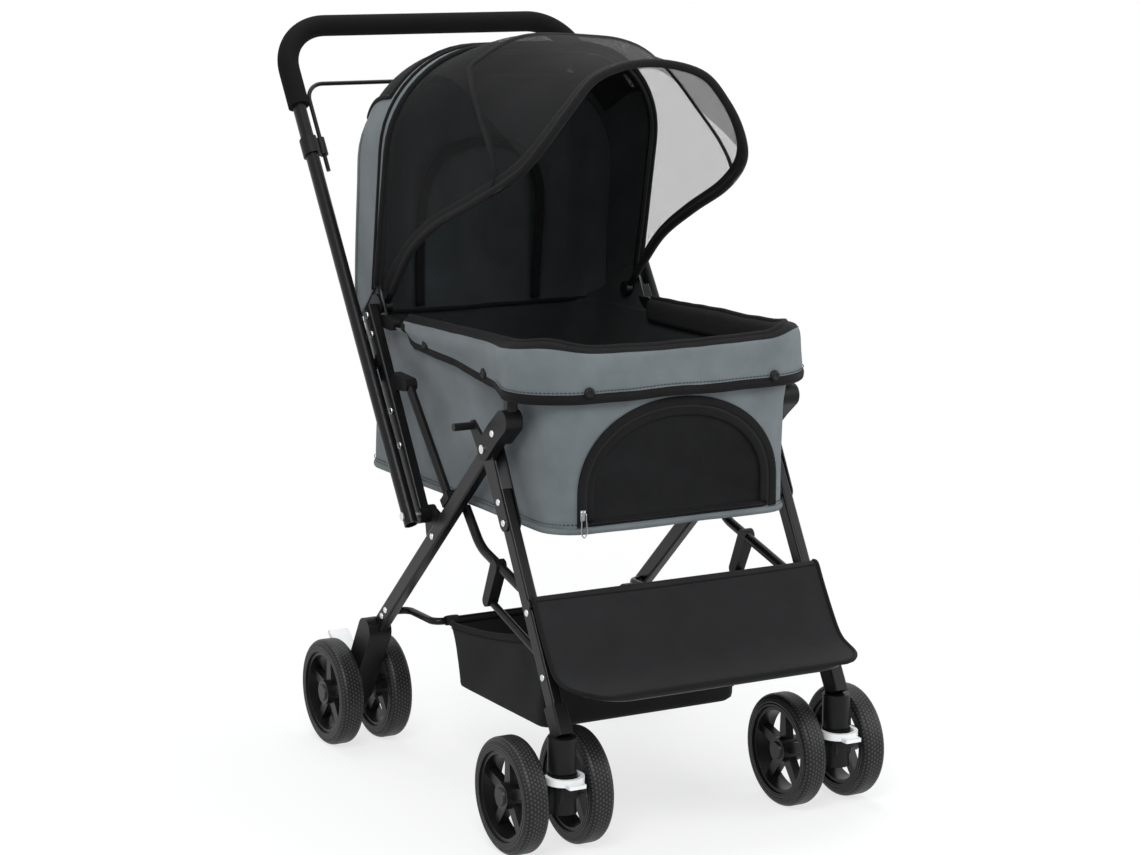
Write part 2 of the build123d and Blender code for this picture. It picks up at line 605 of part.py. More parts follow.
def brake_pedal():
    """Forked toe pedal on the hub's pin."""
    half = BRAKE_PEDAL_WIDTH / 2
    inner = BRAKE_LUG_WIDTH / 2 + SEAT_GAP
    pad_start = along(brake_pivot(), BRAKE_PAD_ANGLE,
                      BRAKE_LUG_RADIUS + BRAKE_PAD_THICKNESS / 2 + WHEEL_SIDE_GAP)
    pad_end = along(brake_pivot(), BRAKE_PAD_ANGLE, BRAKE_LUG_RADIUS + BRAKE_PAD_LENGTH)
    ear_outline = link(brake_pivot(), BRAKE_LUG_RADIUS, pad_start, BRAKE_PAD_THICKNESS / 2)
    pedal = slab(link(pad_start, BRAKE_PAD_THICKNESS / 2, pad_end, BRAKE_PAD_THICKNESS / 2),
                 REAR_HUB_X - half, REAR_HUB_X + half)
    pedal += slab(ear_outline, REAR_HUB_X + inner, REAR_HUB_X + inner + BRAKE_EAR)
    pedal += slab(ear_outline, REAR_HUB_X - inner - BRAKE_EAR, REAR_HUB_X - inner)
    return pedal - cross_pin(brake_pivot(), BRAKE_PIN_DIAMETER / 2 + SLIDING_FIT,
                             REAR_HUB_X - half, REAR_HUB_X + half)


def post_saddle():
    """Moulded bracket on the rear leg that takes the foot of the seat post."""
    foot = HANDLE_PIVOT
    leg_top = along(rear_leg_point(SADDLE_ALONG), REAR_LEG_WAY + 90, TUBE_DEPTH / 2 + SEAT_GAP)
    ahead = along(leg_top, REAR_LEG_WAY + 180, SADDLE_REACH)
    behind = along(leg_top, REAR_LEG_WAY, SADDLE_REACH)
    shape = make_face(Polyline(ahead, behind, along(foot, REAR_LEG_WAY, POST_END_RADIUS),
                               along(foot, REAR_LEG_WAY + 180, POST_END_RADIUS), close=True))
    shape += disc(foot, POST_END_RADIUS)
    cheek = slab(shape, LEG_INNER_X, POST_INNER_X - SEAT_GAP)
    return cheek - cross_pin(foot, PIVOT_PIN_DIAMETER / 2 + RUNNING_FIT, 0, PEG_END_X)


# Basket
def basket_frame():
    half = [(LEG_INNER_X - SEAT_GAP, BASKET_TUBE_REAR_Y, BASKET_TUBE_Z),
            (BASKET_TUBE_X, BASKET_TUBE_REAR_Y, BASKET_TUBE_Z),
            (BASKET_TUBE_X, BASKET_TUBE_FRONT_Y, BASKET_TUBE_Z)]
    points = half + [(-x, y, z) for x, y, z in reversed(half)]
    return round_tube(points, BASKET_TUBE_BEND, BASKET_TUBE_DIAMETER)


def basket_block(inset, floor):
    """Tapered block with the basket's sloping top, drawn in by an inset."""
    bottom_half = BASKET_HALF_WIDTH - BASKET_DRAW_IN - inset
    rear, front = BASKET_REAR_Y - inset, BASKET_FRONT_Y + inset
    draw = BASKET_DRAW_IN
    bottom = Pos(0, (rear + front + draw) / 2, floor) * RectangleRounded(
        2 * bottom_half, rear - front - draw, draw)
    top = Pos(0, (rear + front) / 2, BASKET_FRONT_Z) * RectangleRounded(
        2 * (BASKET_HALF_WIDTH - inset), rear - front, draw)
    return loft([bottom, top], ruled=True)


def storage_basket():
    basket = basket_block(0, BASKET_BOTTOM_Z) - basket_block(BASKET_CLOTH, BASKET_BOTTOM_Z + BASKET_CLOTH)
    above = make_face(Polyline(
        (BASKET_FRONT_Y, BASKET_FRONT_Z), (BASKET_REAR_Y, BASKET_REAR_Z),
        (BASKET_REAR_Y, 2 * BASKET_FRONT_Z), (BASKET_FRONT_Y, 2 * BASKET_FRONT_Z), close=True))
    return basket - slab(above, -2 * BASKET_HALF_WIDTH, 2 * BASKET_HALF_WIDTH)


# Seat frame
def seat_post():
    tube = box_tube(HANDLE_PIVOT, POST_WAY, POST_LENGTH, POST_X)
    foot = slab(disc(HANDLE_PIVOT, POST_END_RADIUS), POST_INNER_X, POST_OUTER_X)
    bore = cross_pin(HANDLE_PIVOT, PIVOT_PIN_DIAMETER / 2 + RUNNING_FIT, 0, PEG_END_X)
    return tube + foot - bore


def cabin_rim():
    points = [(RIM_HALF_WIDTH, RIM_REAR_Y, RIM_Z), (RIM_HALF_WIDTH, RIM_FRONT_Y, RIM_Z),
              (-RIM_HALF_WIDTH, RIM_FRONT_Y, RIM_Z), (-RIM_HALF_WIDTH, RIM_REAR_Y, RIM_Z)]
    return round_tube(points, RIM_BEND, RIM_TUBE_DIAMETER)


def rim_support():
    x = RIM_HALF_WIDTH + RIM_TUBE_RADIUS + SEAT_GAP + UPRIGHT_SIZE / 2
    return box_tube((UPRIGHT_Y, UPRIGHT_FOOT_Z), 90, UPRIGHT_TOP_Z - UPRIGHT_FOOT_Z, x,
                    UPRIGHT_SIZE, UPRIGHT_SIZE)


def pivot_block():
    """Moulded block over the rear leg's top end, with the outer cheek, its horn and the handle peg."""
    leg_end = rear_leg_point(-REAR_LEG_ABOVE)
    outer = CHEEK_X + CHEEK_THICKNESS
    body = slab(link(leg_end, BLOCK_RADIUS, (UPRIGHT_Y, UPRIGHT_FOOT_Z + BLOCK_RADIUS / 2), BLOCK_RADIUS),
                LEG_INNER_X - COLLAR_WALL, outer)
    body -= slab(disc(PIVOT, PLATE_EYE_RADIUS + WHEEL_SIDE_GAP), 0, CHEEK_X)
    cheek = slab(link(PIVOT, BLOCK_RADIUS, leg_end, BLOCK_RADIUS), CHEEK_X, outer)
    horn = slab(link(PIVOT, BLOCK_RADIUS - COLLAR_WALL, (PEG_Y, PEG_Z), PEG_DIAMETER / 2 + COLLAR_WALL),
                CHEEK_X, outer)
    peg = cross_pin((PEG_Y, PEG_Z), PEG_DIAMETER / 2, CHEEK_X, PEG_END_X)
    leg_socket = box_bar(rear_leg_point(-REAR_LEG_ABOVE - SLIDING_FIT), REAR_LEG_WAY, 2 * REAR_LEG_ABOVE,
                         LEG_X, TUBE_DEPTH + 2 * SLIDING_FIT, TUBE_WIDTH + 2 * SLIDING_FIT)
    upright_x = RIM_HALF_WIDTH + RIM_TUBE_RADIUS + SEAT_GAP + UPRIGHT_SIZE / 2
    upright_socket = box_bar((UPRIGHT_Y, UPRIGHT_FOOT_Z - SLIDING_FIT), 90, 2 * BLOCK_RADIUS, upright_x,
                             UPRIGHT_SIZE + 2 * SLIDING_FIT, UPRIGHT_SIZE + 2 * SLIDING_FIT)
    bolt_hole = cross_pin(PIVOT, PIVOT_PIN_DIAMETER / 2 + RUNNING_FIT, 0, PEG_END_X)
    return body + cheek + horn + peg - leg_socket - upright_socket - bolt_hole


def headed_pin(centre, x_from, x_to):
    """Pin across a joint with a domed head on each end."""
    pin = cross_pin(centre, PIVOT_PIN_DIAMETER / 2, x_from, x_to)
    head = PIVOT_PIN_DIAMETER / 2 + RIVET_HEAD_HEIGHT
    pin += cross_pin(centre, head, x_to, x_to + RIVET_HEAD_HEIGHT)
    return pin + cross_pin(centre, head, x_from - RIVET_HEAD_HEIGHT, x_from)


def pivot_pins():
    bolt = headed_pin(PIVOT, PLATE_INNER_X - SEAT_GAP, CHEEK_X + CHEEK_THICKNESS + SEAT_GAP)
    foot = headed_pin(HANDLE_PIVOT, LEG_INNER_X - SEAT_GAP, HANDLE_X + HANDLE_WIDTH / 2 + SEAT_GAP)
    return bolt, foot


def seat_strut():
    """Side strut from a cap on the post down to a shoe on the rear leg."""
    top = (STRUT_TOP_Y, STRUT_TOP_Z)
    leg_face = TUBE_DEPTH / 2 + SEAT_GAP
    foot = along(rear_leg_point(STRUT_FOOT_ALONG), REAR_LEG_WAY + 90, leg_face + STRUT_DIAMETER / 2)
    return straight_rod((LEG_X, *top), (LEG_X, *foot), STRUT_DIAMETER)


def strut_shoe():
    leg_face = TUBE_DEPTH / 2 + SEAT_GAP
    base = rear_leg_point(STRUT_FOOT_ALONG)
    low = along(base, REAR_LEG_WAY + 90, leg_face)
    high = along(base, REAR_LEG_WAY + 90, leg_face + STRUT_DIAMETER)
    reach = STRUT_DIAMETER
    shape = make_face(Polyline(
        along(low, REAR_LEG_WAY, reach), along(high, REAR_LEG_WAY, reach),
        along(high, REAR_LEG_WAY + 180, reach), along(low, REAR_LEG_WAY + 180, reach), close=True))
    room = straight_rod((LEG_X, STRUT_TOP_Y, STRUT_TOP_Z),
                        (LEG_X, *along(base, REAR_LEG_WAY + 90, leg_face + STRUT_DIAMETER / 2)),
                        STRUT_DIAMETER + 2 * SLIDING_FIT)
    return slab(shape, LEG_INNER_X, LEG_OUTER_X) - room


def strut_cap():
    """Moulded arm from the post to the strut's upper end."""
    level = (STRUT_TOP_Z - HANDLE_PIVOT_Z) / direction(POST_WAY)[1]
    arm = slab(link((STRUT_TOP_Y, STRUT_TOP_Z), STRUT_DIAMETER / 2 + COLLAR_WALL,
                    post_point(level), TUBE_DEPTH / 2),
               LEG_X - STRUT_DIAMETER / 2 - COLLAR_WALL, LEG_X + STRUT_DIAMETER / 2 + COLLAR_WALL)
    post_room = box_bar(HANDLE_PIVOT, POST_WAY, POST_LENGTH, POST_X,
                        TUBE_DEPTH + 2 * SLIDING_FIT, TUBE_WIDTH + 2 * SLIDING_FIT)
    foot = along(rear_leg_point(STRUT_FOOT_ALONG), REAR_LEG_WAY + 90,
                 TUBE_DEPTH / 2 + SEAT_GAP + STRUT_DIAMETER / 2)
    strut_room = straight_rod((LEG_X, STRUT_TOP_Y, STRUT_TOP_Z), (LEG_X, *foot),
                              STRUT_DIAMETER + 2 * SLIDING_FIT)
    return arm - post_room - strut_room


def rim_joint():
    """Moulded shoe that holds the rear end of the rim to the post."""
    level = (RIM_Z - HANDLE_PIVOT_Z) / direction(POST_WAY)[1]
    shape = link((RIM_REAR_Y - 2 * RIM_TUBE_RADIUS, RIM_Z), RIM_TUBE_RADIUS + COLLAR_WALL,
                 post_point(level), TUBE_DEPTH / 3)
    return slab(shape, RIM_HALF_WIDTH + RIM_TUBE_RADIUS + SEAT_GAP, POST_INNER_X - SEAT_GAP)


def canopy_hub():
    """Hinge boss on the inner face of the post's top end, with the pin that both bows turn on."""
    post_face = POST_INNER_X - SEAT_GAP
    pin_end = FRONT_BOW_X - BOW_DIAMETER / 2 - SEAT_GAP
    boss = slab(disc(POST_TOP, HOOD_HUB_RADIUS), MAIN_BOW_X + BOW_DIAMETER / 2 + 2 * SEAT_GAP, post_face)
    pin = cross_pin(POST_TOP, BOW_PIN_DIAMETER / 2, pin_end, post_face)
    head = cross_pin(POST_TOP, BOW_EYE_RADIUS, pin_end - RIVET_HEAD_HEIGHT, pin_end)
    return boss + pin + head


def handle_catch():
    """Stop on the post that the handle leg leans back against."""
    behind = HANDLE_DEPTH / 2 + SEAT_GAP
    place = along(HANDLE_PIVOT, HANDLE_WAY, CATCH_PLACE)
    back = along(place, HANDLE_WAY - 90, behind + COLLAR_WALL)
    lip = slab(link(along(back, HANDLE_WAY, HOOD_HUB_RADIUS), COLLAR_WALL,
                    along(back, HANDLE_WAY + 180, HOOD_HUB_RADIUS), COLLAR_WALL),
               POST_OUTER_X + SEAT_GAP, HANDLE_X)
    tie = slab(link(back, COLLAR_WALL * 2, post_point(CATCH_PLACE), TUBE_DEPTH / 3),
               POST_OUTER_X + SEAT_GAP, HANDLE_INNER_X - SEAT_GAP)
    handle_room = box_bar(HANDLE_PIVOT, HANDLE_WAY, HANDLE_LENGTH, HANDLE_X, 2 * behind,
                          HANDLE_WIDTH + 2 * SEAT_GAP)
    return lip + tie - handle_room


def post_brackets():
    return rim_joint(), canopy_hub(), handle_catch(), strut_cap(), strut_shoe()


# Cabin
def cabin_section(half, z, inset):
    length = CABIN_REAR_Y - CABIN_FRONT_Y - 2 * inset
    centre = (CABIN_REAR_Y + CABIN_FRONT_Y) / 2
    return Pos(0, centre, z) * RectangleRounded(2 * (half - inset), length, CABIN_CORNER - inset)


def cabin_block(inset, floor, top):
    heights = ((CABIN_HALF_BOTTOM, floor), (CABIN_HALF_WAIST, CABIN_WAIST_Z), (CABIN_HALF_TOP, top))
    return loft([cabin_section(half, z, inset) for half, z in heights], ruled=True)


def door_outline(inset):
    """D-shaped door seen from the front, local axes (x, z)."""
    half = DOOR_HALF_WIDTH - inset
    low, top = DOOR_BOTTOM_Z + inset, DOOR_TOP_Z - inset
    arch = ThreePointArc((-half, DOOR_SHOULDER_Z), (0, top), (half, DOOR_SHOULDER_Z))
    sides = Polyline((half, DOOR_SHOULDER_Z), (half, low), (-half, low), (-half, DOOR_SHOULDER_Z))
    return make_face(arch + sides)


def front_wall_slab(outline, y_from, depth):
    """A front-view outline given its depth towards the rear."""
    front = Plane(origin=(0, y_from, 0), x_dir=(1, 0, 0), z_dir=(0, -1, 0))
    return extrude(front * outline, amount=-depth)


def cabin_tub():
    tub = cabin_block(0, CABIN_BOTTOM_Z, CABIN_TOP_Z)
    tub -= cabin_block(CABIN_CLOTH, CABIN_BOTTOM_Z + CABIN_CLOTH, CABIN_TOP_Z)
    return tub - front_wall_slab(door_outline(0), CABIN_FRONT_Y - CABIN_CLOTH, 3 * CABIN_CLOTH)


def front_door():
    return front_wall_slab(door_outline(SOFT_GAP), CABIN_FRONT_Y + SOFT_GAP, DOOR_THICKNESS)


def floor_board():
    inset = CABIN_CLOTH + SOFT_GAP
    plan = cabin_section(CABIN_HALF_BOTTOM, CABIN_BOTTOM_Z + CABIN_CLOTH + SEAT_GAP, inset)
    return extrude(plan, amount=FLOOR_BOARD)


# Canopy
def hood_plane(angle):
    """Plane through both hinge pins, leaning at an angle: local x is X, local y runs outward."""
    y_part, z_part = direction(angle)
    return Plane(origin=(0, *POST_TOP), x_dir=(1, 0, 0), z_dir=(0, -z_part, y_part))


def wire_with_eyes(path, base_x):
    """Wire along a path, with a flat eye on each hinge pin."""
    start = Plane(origin=path @ 0, z_dir=path % 0)
    wire = sweep(start * Circle(BOW_DIAMETER / 2), path=path)
    half_eye = BOW_DIAMETER / 2
    for sign in (1, -1):
        wire += slab(disc(POST_TOP, BOW_EYE_RADIUS), sign * base_x - half_eye, sign * base_x + half_eye)
        wire -= slab(disc(POST_TOP, BOW_PIN_DIAMETER / 2 + RUNNING_FIT),
                     sign * base_x - BOW_DIAMETER, sign * base_x + BOW_DIAMETER)
    return wire


def main_bow():
    shoulder = MAIN_BOW_APEX - MAIN_BOW_BEND
    left = [(MAIN_BOW_X, BOW_EYE_RADIUS / 2), (MAIN_BOW_HALF, shoulder / 2), (MAIN_BOW_HALF, MAIN_BOW_APEX)]
    points = left + [(-x, y) for x, y in reversed(left)]
    bends = [MAIN_BOW_BEND / 2, MAIN_BOW_BEND, MAIN_BOW_BEND, MAIN_BOW_BEND / 2]
    return wire_with_eyes(hood_plane(MAIN_BOW_ANGLE) * FilletPolyline(*points, radius=bends), MAIN_BOW_X)


def front_bow_path():
    """Free edge of the visor: out from the hinge, forward along each side and up to a narrower front."""
    left = [(FRONT_BOW_X, *along(POST_TOP, FRONT_BOW_LINE[0][2], BOW_EYE_RADIUS / 2))]
    left += [(FRONT_BOW_HALF * wide, *along(POST_TOP, angle, FRONT_BOW_REACH * far))
             for wide, far, angle in FRONT_BOW_LINE]
    right = [(-x, y, z) for x, y, z in reversed(left)]
    return Spline(*left, (0, *along(POST_TOP, FRONT_BOW_ANGLE, FRONT_BOW_REACH)), *right)


def front_bow():
    return wire_with_eyes(front_bow_path(), FRONT_BOW_X)


def hood_band(half, apex, bend, angle):
    """Cross-section of the cloth in one bow's plane: an arch as thick as the cloth."""
    lift = BOW_DIAMETER / 2 + SOFT_GAP
    inner, low, inner_corner = half + lift, apex + lift, bend + lift
    outer, high, outer_corner = inner + HOOD_CLOTH, low + HOOD_CLOTH, inner_corner + HOOD_CLOTH

    def corner_middle(side, reach, top, radius):
        slack = radius * (1 - math.sqrt(0.5))
        return side * (reach - slack), top - slack

    edges = [Line((outer, HOOD_START), (outer, high - outer_corner)),
             ThreePointArc((outer, high - outer_corner), corner_middle(1, outer, high, outer_corner),
                           (outer - outer_corner, high)),
             Line((outer - outer_corner, high), (outer_corner - outer, high)),
             ThreePointArc((outer_corner - outer, high), corner_middle(-1, outer, high, outer_corner),
                           (-outer, high - outer_corner)),
             Line((-outer, high - outer_corner), (-outer, HOOD_START)),
             Line((-outer, HOOD_START), (-inner, HOOD_START)),
             Line((-inner, HOOD_START), (-inner, low - inner_corner)),
             ThreePointArc((-inner, low - inner_corner), corner_middle(-1, inner, low, inner_corner),
                           (inner_corner - inner, low)),
             Line((inner_corner - inner, low), (inner - inner_corner, low)),
             ThreePointArc((inner - inner_corner, low), corner_middle(1, inner, low, inner_corner),
                           (inner, low - inner_corner)),
             Line((inner, low - inner_corner), (inner, HOOD_START)),
             Line((inner, HOOD_START), (outer, HOOD_START))]
    return hood_plane(angle) * make_face(edges)


def canopy_rear():
    sections = [hood_band(MAIN_BOW_HALF, MAIN_BOW_APEX, MAIN_BOW_BEND, MAIN_BOW_ANGLE - HOOD_SEAM_GAP),
                hood_band(REAR_ARCH_HALF, REAR_ARCH_APEX, REAR_ARCH_BEND, REAR_ARCH_ANGLE),
                hood_band(REAR_BASE_HALF, REAR_BASE_APEX, REAR_BASE_BEND, REAR_BASE_ANGLE)]
    return loft(sections, ruled=True)


def visor_profile():
    """Side view of all that lies behind the front bow's wire, with room for the wire."""
    wire = front_bow_path()
    room = BOW_DIAMETER / 2 + 3 * SOFT_GAP
    edge = []
    for step in range(VISOR_STEP_COUNT):
        share = VISOR_FOOT_SHARE + (VISOR_BROW_SHARE - VISOR_FOOT_SHARE) * step / VISOR_STEP_COUNT
        point, way = wire @ share, wire % share
        run = math.hypot(way.Y, way.Z)
        edge.append((point.Y + room * way.Z / run, point.Z - room * way.Y / run))
    rear, high = POST_TOP[0] + FRONT_BOW_REACH, POST_TOP[1] + 2 * FRONT_BOW_REACH
    front = (wire @ 0.5).Y + room
    return make_face(Polyline(*edge, (front, edge[-1][1]), (front, high), (rear, high), (rear, POST_TOP[1]),
                              close=True))


def canopy_front():
    """Mesh visor from the main bow's seam to just short of the front bow's wire."""
    front_apex = FRONT_BOW_REACH - BOW_DIAMETER / 2
    front_half = FRONT_BOW_HALF - 2 * VISOR_NARROWING
    middle_apex = (MAIN_BOW_APEX + front_apex) / 2 + VISOR_SWELL
    sections = [hood_band(MAIN_BOW_HALF, MAIN_BOW_APEX, MAIN_BOW_BEND, MAIN_BOW_ANGLE + HOOD_SEAM_GAP),
                hood_band(MAIN_BOW_HALF - VISOR_NARROWING, middle_apex, (MAIN_BOW_BEND + VISOR_BEND) / 2,
                          (MAIN_BOW_ANGLE + FRONT_BOW_ANGLE) / 2),
                hood_band(front_half, front_apex, VISOR_BEND, FRONT_BOW_ANGLE),
                hood_band(front_half, front_apex, VISOR_BEND, VISOR_END_ANGLE)]
    return loft(sections, ruled=True) & slab(visor_profile(), -FRONT_BOW_REACH, FRONT_BOW_REACH)


# Handle
def handle_plane():
    """Plane of the handle: local x is X, local y runs up the legs from the lower pivot."""
    y_part, z_part = direction(HANDLE_WAY)
    return Plane(origin=(0, *HANDLE_PIVOT), x_dir=(1, 0, 0), z_dir=(0, -z_part, y_part))


def handle_path(start):
    points = [(HANDLE_X, start), (HANDLE_X, HANDLE_LENGTH), (-HANDLE_X, HANDLE_LENGTH), (-HANDLE_X, start)]
    return handle_plane() * FilletPolyline(*points, radius=HANDLE_BEND)


def handle_section(start, section):
    frame = handle_plane()
    corner = frame.from_local_coords((HANDLE_X, start, 0))
    return Plane(origin=corner, x_dir=(1, 0, 0), z_dir=frame.y_dir) * section


def handle_tube():
    section = Ellipse(HANDLE_WIDTH / 2, HANDLE_DEPTH / 2)
    section -= Ellipse(HANDLE_WIDTH / 2 - HANDLE_WALL, HANDLE_DEPTH / 2 - HANDLE_WALL)
    tube = sweep(handle_section(-HANDLE_FOOT, section), path=handle_path(-HANDLE_FOOT))
    bore = PIVOT_PIN_DIAMETER / 2 + RUNNING_FIT
    return tube - cross_pin(HANDLE_PIVOT, bore, -PEG_END_X, PEG_END_X)


def handle_grip():
    section = Circle(GRIP_DIAMETER / 2)
    section -= Ellipse(HANDLE_WIDTH / 2 + SLIDING_FIT, HANDLE_DEPTH / 2 + SLIDING_FIT)
    return sweep(handle_section(GRIP_START, section), path=handle_path(GRIP_START))


def handle_guide():
    """Moulded clip on the handle leg with the eye that guides the release wire."""
    frame = handle_plane()
    base = GUIDE_PLACE - GUIDE_LENGTH / 2
    leg_frame = Plane(origin=frame.from_local_coords((0, base, 0)), x_dir=(1, 0, 0), z_dir=frame.y_dir)
    ring = Pos(HANDLE_X, 0) * Ellipse(HANDLE_WIDTH / 2 + GUIDE_WALL, HANDLE_DEPTH / 2 + GUIDE_WALL)
    eye_radius = RELEASE_WIRE_DIAMETER / 2 + GUIDE_WALL
    eye = Pos(RELEASE_WIRE_X, 0) * Circle(eye_radius)
    neck = Pos((RELEASE_WIRE_X + HANDLE_X) / 2, 0) * Rectangle(HANDLE_X - RELEASE_WIRE_X, 2 * GUIDE_WALL)
    outline = ring + eye + neck
    outline -= Pos(HANDLE_X, 0) * Ellipse(HANDLE_WIDTH / 2 + SLIDING_FIT, HANDLE_DEPTH / 2 + SLIDING_FIT)
    outline -= Pos(RELEASE_WIRE_X, 0) * Circle(RELEASE_WIRE_DIAMETER / 2 + SLIDING_FIT)
    return extrude(leg_frame * outline, amount=GUIDE_LENGTH)


def release_bar():
    foot = GUIDE_PLACE - GUIDE_LENGTH / 2 - RELEASE_WIRE_TAIL
    points = [(RELEASE_WIRE_X, foot), (RELEASE_WIRE_X, RELEASE_BAR_PLACE),
              (-RELEASE_WIRE_X, RELEASE_BAR_PLACE), (-RELEASE_WIRE_X, foot)]
    path = handle_plane() * FilletPolyline(*points, radius=RELEASE_BEND)
    start = Plane(origin=path @ 0, z_dir=path % 0)
    return sweep(start * Circle(RELEASE_WIRE_DIAMETER / 2), path=path)


# Rivets
def rivet(centre, face_x):
    """Domed rivet head on an outer face."""
    head = cross_pin(centre, RIVET_HEAD_RADIUS, face_x, face_x + RIVET_HEAD_HEIGHT)
    rounded = head.edges().filter_by(GeomType.CIRCLE).sort_by(Axis.X)[-1]
    return fillet(rounded, RIVET_ROUNDING)


def seat_rivets():
    low = REAR_LEG_BELOW - HUB_RIVET_UP
    high = POST_LENGTH - POST_RIVET_DOWN
    leg_places = (low, low - HUB_RIVET_PITCH, SADDLE_ALONG)
    post_places = (high, high - POST_RIVET_PITCH, CAP_RIVET_UP, CAP_RIVET_UP - CAP_RIVET_PITCH)
    heads = [rivet(rear_leg_point(place), LEG_OUTER_X) for place in leg_places]
    heads += [rivet(post_point(place), POST_OUTER_X) for place in post_places]
    heads.append(rivet(rear_leg_point(-REAR_LEG_ABOVE), CHEEK_X + CHEEK_THICKNESS))
    return heads


def front_rivets():
    plate_places = (FRONT_LEG_START + PLATE_RIVET_DOWN, PLATE_REACH)
    leg_places = (BRACE_FRONT_ALONG, FRONT_LEG_KNEE - COLLAR_RIVET_UP)
    heads = [rivet(front_leg_point(place), PLATE_OUTER_X + PLATE_THICKNESS) for place in plate_places]
    heads += [rivet(front_leg_point(place), LEG_OUTER_X) for place in leg_places]
    return heads


def all_nodes():
    nodes = {
        "seat_post_left": seat_post(), "seat_post_right": on_right(seat_post()),
        "cabin_rim": cabin_rim(), "rim_supports": on_both_sides(rim_support()),
        "pivot_blocks": on_both_sides(pivot_block()), "pivot_pins": on_both_sides(*pivot_pins()),
        "post_brackets": on_both_sides(*post_brackets()), "seat_struts": on_both_sides(seat_strut()),
        "cabin_tub": cabin_tub(), "floor_board": floor_board(), "front_door": front_door(),
        "seat_rivets": on_both_sides(*seat_rivets()),
        "rear_leg_left": rear_leg(), "rear_leg_right": on_right(rear_leg()),
        "post_saddles": on_both_sides(post_saddle()), "rear_hubs": on_both_sides(rear_hub()),
        "rear_axles": on_both_sides(axle(REAR_HUB_X, REAR_AXLE_Y, REAR_TWIN_SPACING)),
        "brake_pedal_left": brake_pedal(), "brake_pedal_right": on_right(brake_pedal()),
        "basket_frame": basket_frame(), "storage_basket": storage_basket(),
        "front_leg_left": front_leg(), "front_leg_right": on_right(front_leg()),
        "leg_plates": on_both_sides(*leg_plates()),
        "front_mouldings": on_both_sides(front_collar(), brace_fitting()),
        "side_braces": on_both_sides(brace()), "footrest_tubes": footrest_tubes(),
        "footrest_fabric": footrest_fabric(), "front_rivets": on_both_sides(*front_rivets()),
        "canopy_main_bow": main_bow(), "canopy_front_bow": front_bow(),
        "canopy_rear": canopy_rear(), "canopy_front": canopy_front(),
        "handle_tube": handle_tube(), "handle_grip": handle_grip(),
        "handle_guides": on_both_sides(handle_guide()), "release_bar": release_bar(),
    }
    caster = {"caster_fork": caster_fork(), "caster_lock": caster_lock(),
              "caster_pins": Compound([caster_stem(), axle(LEG_X, FRONT_AXLE_Y, FRONT_TWIN_SPACING)])}
    for name, solid in caster.items():
        nodes[f"{name}_left"] = solid
        nodes[f"{name}_right"] = on_right(solid)
    rim_out, tread = wheel_rim(), tyre()
    for name, place, outward in wheel_places():
        nodes[f"rim_{name}"] = Pos(*place) * (rim_out if outward > 0 else mirror(rim_out, about=Plane.YZ))
        nodes[f"tyre_{name}"] = Pos(*place) * tread
    return nodes


for node_name, shape in all_nodes().items():
    export_step(shape, f"parts/{node_name}.step")
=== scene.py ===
"""Looks of the pet stroller, in metres: front is -Y, up is +Z, left is +X."""
import json
from math import atan2, copysign, cos, degrees, exp, hypot, pi, radians, sin, sqrt

import bpy
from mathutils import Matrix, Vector, noise


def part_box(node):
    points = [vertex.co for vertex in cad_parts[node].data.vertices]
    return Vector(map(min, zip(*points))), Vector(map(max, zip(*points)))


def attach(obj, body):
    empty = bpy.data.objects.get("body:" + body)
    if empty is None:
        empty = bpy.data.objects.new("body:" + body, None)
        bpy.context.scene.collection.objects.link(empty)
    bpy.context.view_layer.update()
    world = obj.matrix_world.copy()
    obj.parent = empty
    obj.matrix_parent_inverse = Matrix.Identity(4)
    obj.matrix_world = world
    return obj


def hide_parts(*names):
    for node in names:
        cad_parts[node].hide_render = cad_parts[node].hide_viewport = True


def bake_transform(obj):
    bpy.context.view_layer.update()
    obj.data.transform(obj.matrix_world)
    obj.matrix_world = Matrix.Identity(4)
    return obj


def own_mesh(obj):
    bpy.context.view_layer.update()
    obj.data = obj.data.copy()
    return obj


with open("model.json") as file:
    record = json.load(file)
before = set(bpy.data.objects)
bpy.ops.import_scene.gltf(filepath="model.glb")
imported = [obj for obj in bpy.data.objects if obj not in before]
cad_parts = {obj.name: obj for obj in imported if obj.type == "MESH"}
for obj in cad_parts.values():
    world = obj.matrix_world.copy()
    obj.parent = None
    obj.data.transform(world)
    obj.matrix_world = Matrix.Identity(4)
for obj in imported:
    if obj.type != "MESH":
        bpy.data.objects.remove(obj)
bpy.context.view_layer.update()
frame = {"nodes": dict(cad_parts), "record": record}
nodes = frame["nodes"]
scene = bpy.context.scene

# Places shared with the solids
HOOD_Y, HOOD_Z = 0.16106, 0.62972
HOOD_HINGE = Vector((0, HOOD_Y, HOOD_Z))
MAIN_ANGLE = 101.5
RIM_HALF, RIM_FRONT, RIM_Z, RIM_BEND = 0.190, -0.293, 0.612, 0.062
CABIN_FRONT, CABIN_REAR = -0.296, 0.266
CABIN_LOW, CABIN_WAIST, CABIN_TOP = 0.392, 0.530, 0.6045
DOOR_HALF, DOOR_LOW, DOOR_SHOULDER, DOOR_TOP = 0.136, 0.402, 0.440, 0.545

# Sizes of the looks alone
WALL_HALF, WALL_TOP, WALL_BEND, WALL_LOW = 0.199, 0.928, 0.115, 0.602
DOOR_ROUND = 2.1  # power of the curve that rounds the door's arch
FORWARD = Vector((0, -1, 0))
THIN_CLOTH = 0.0016
TUBE_SIDES = 10
STITCH_RADIUS, STITCH_STEP, STITCH_RISE = 0.0006, 0.0052, 0.009
VISOR_COLUMNS, VISOR_ROWS = 73, 21

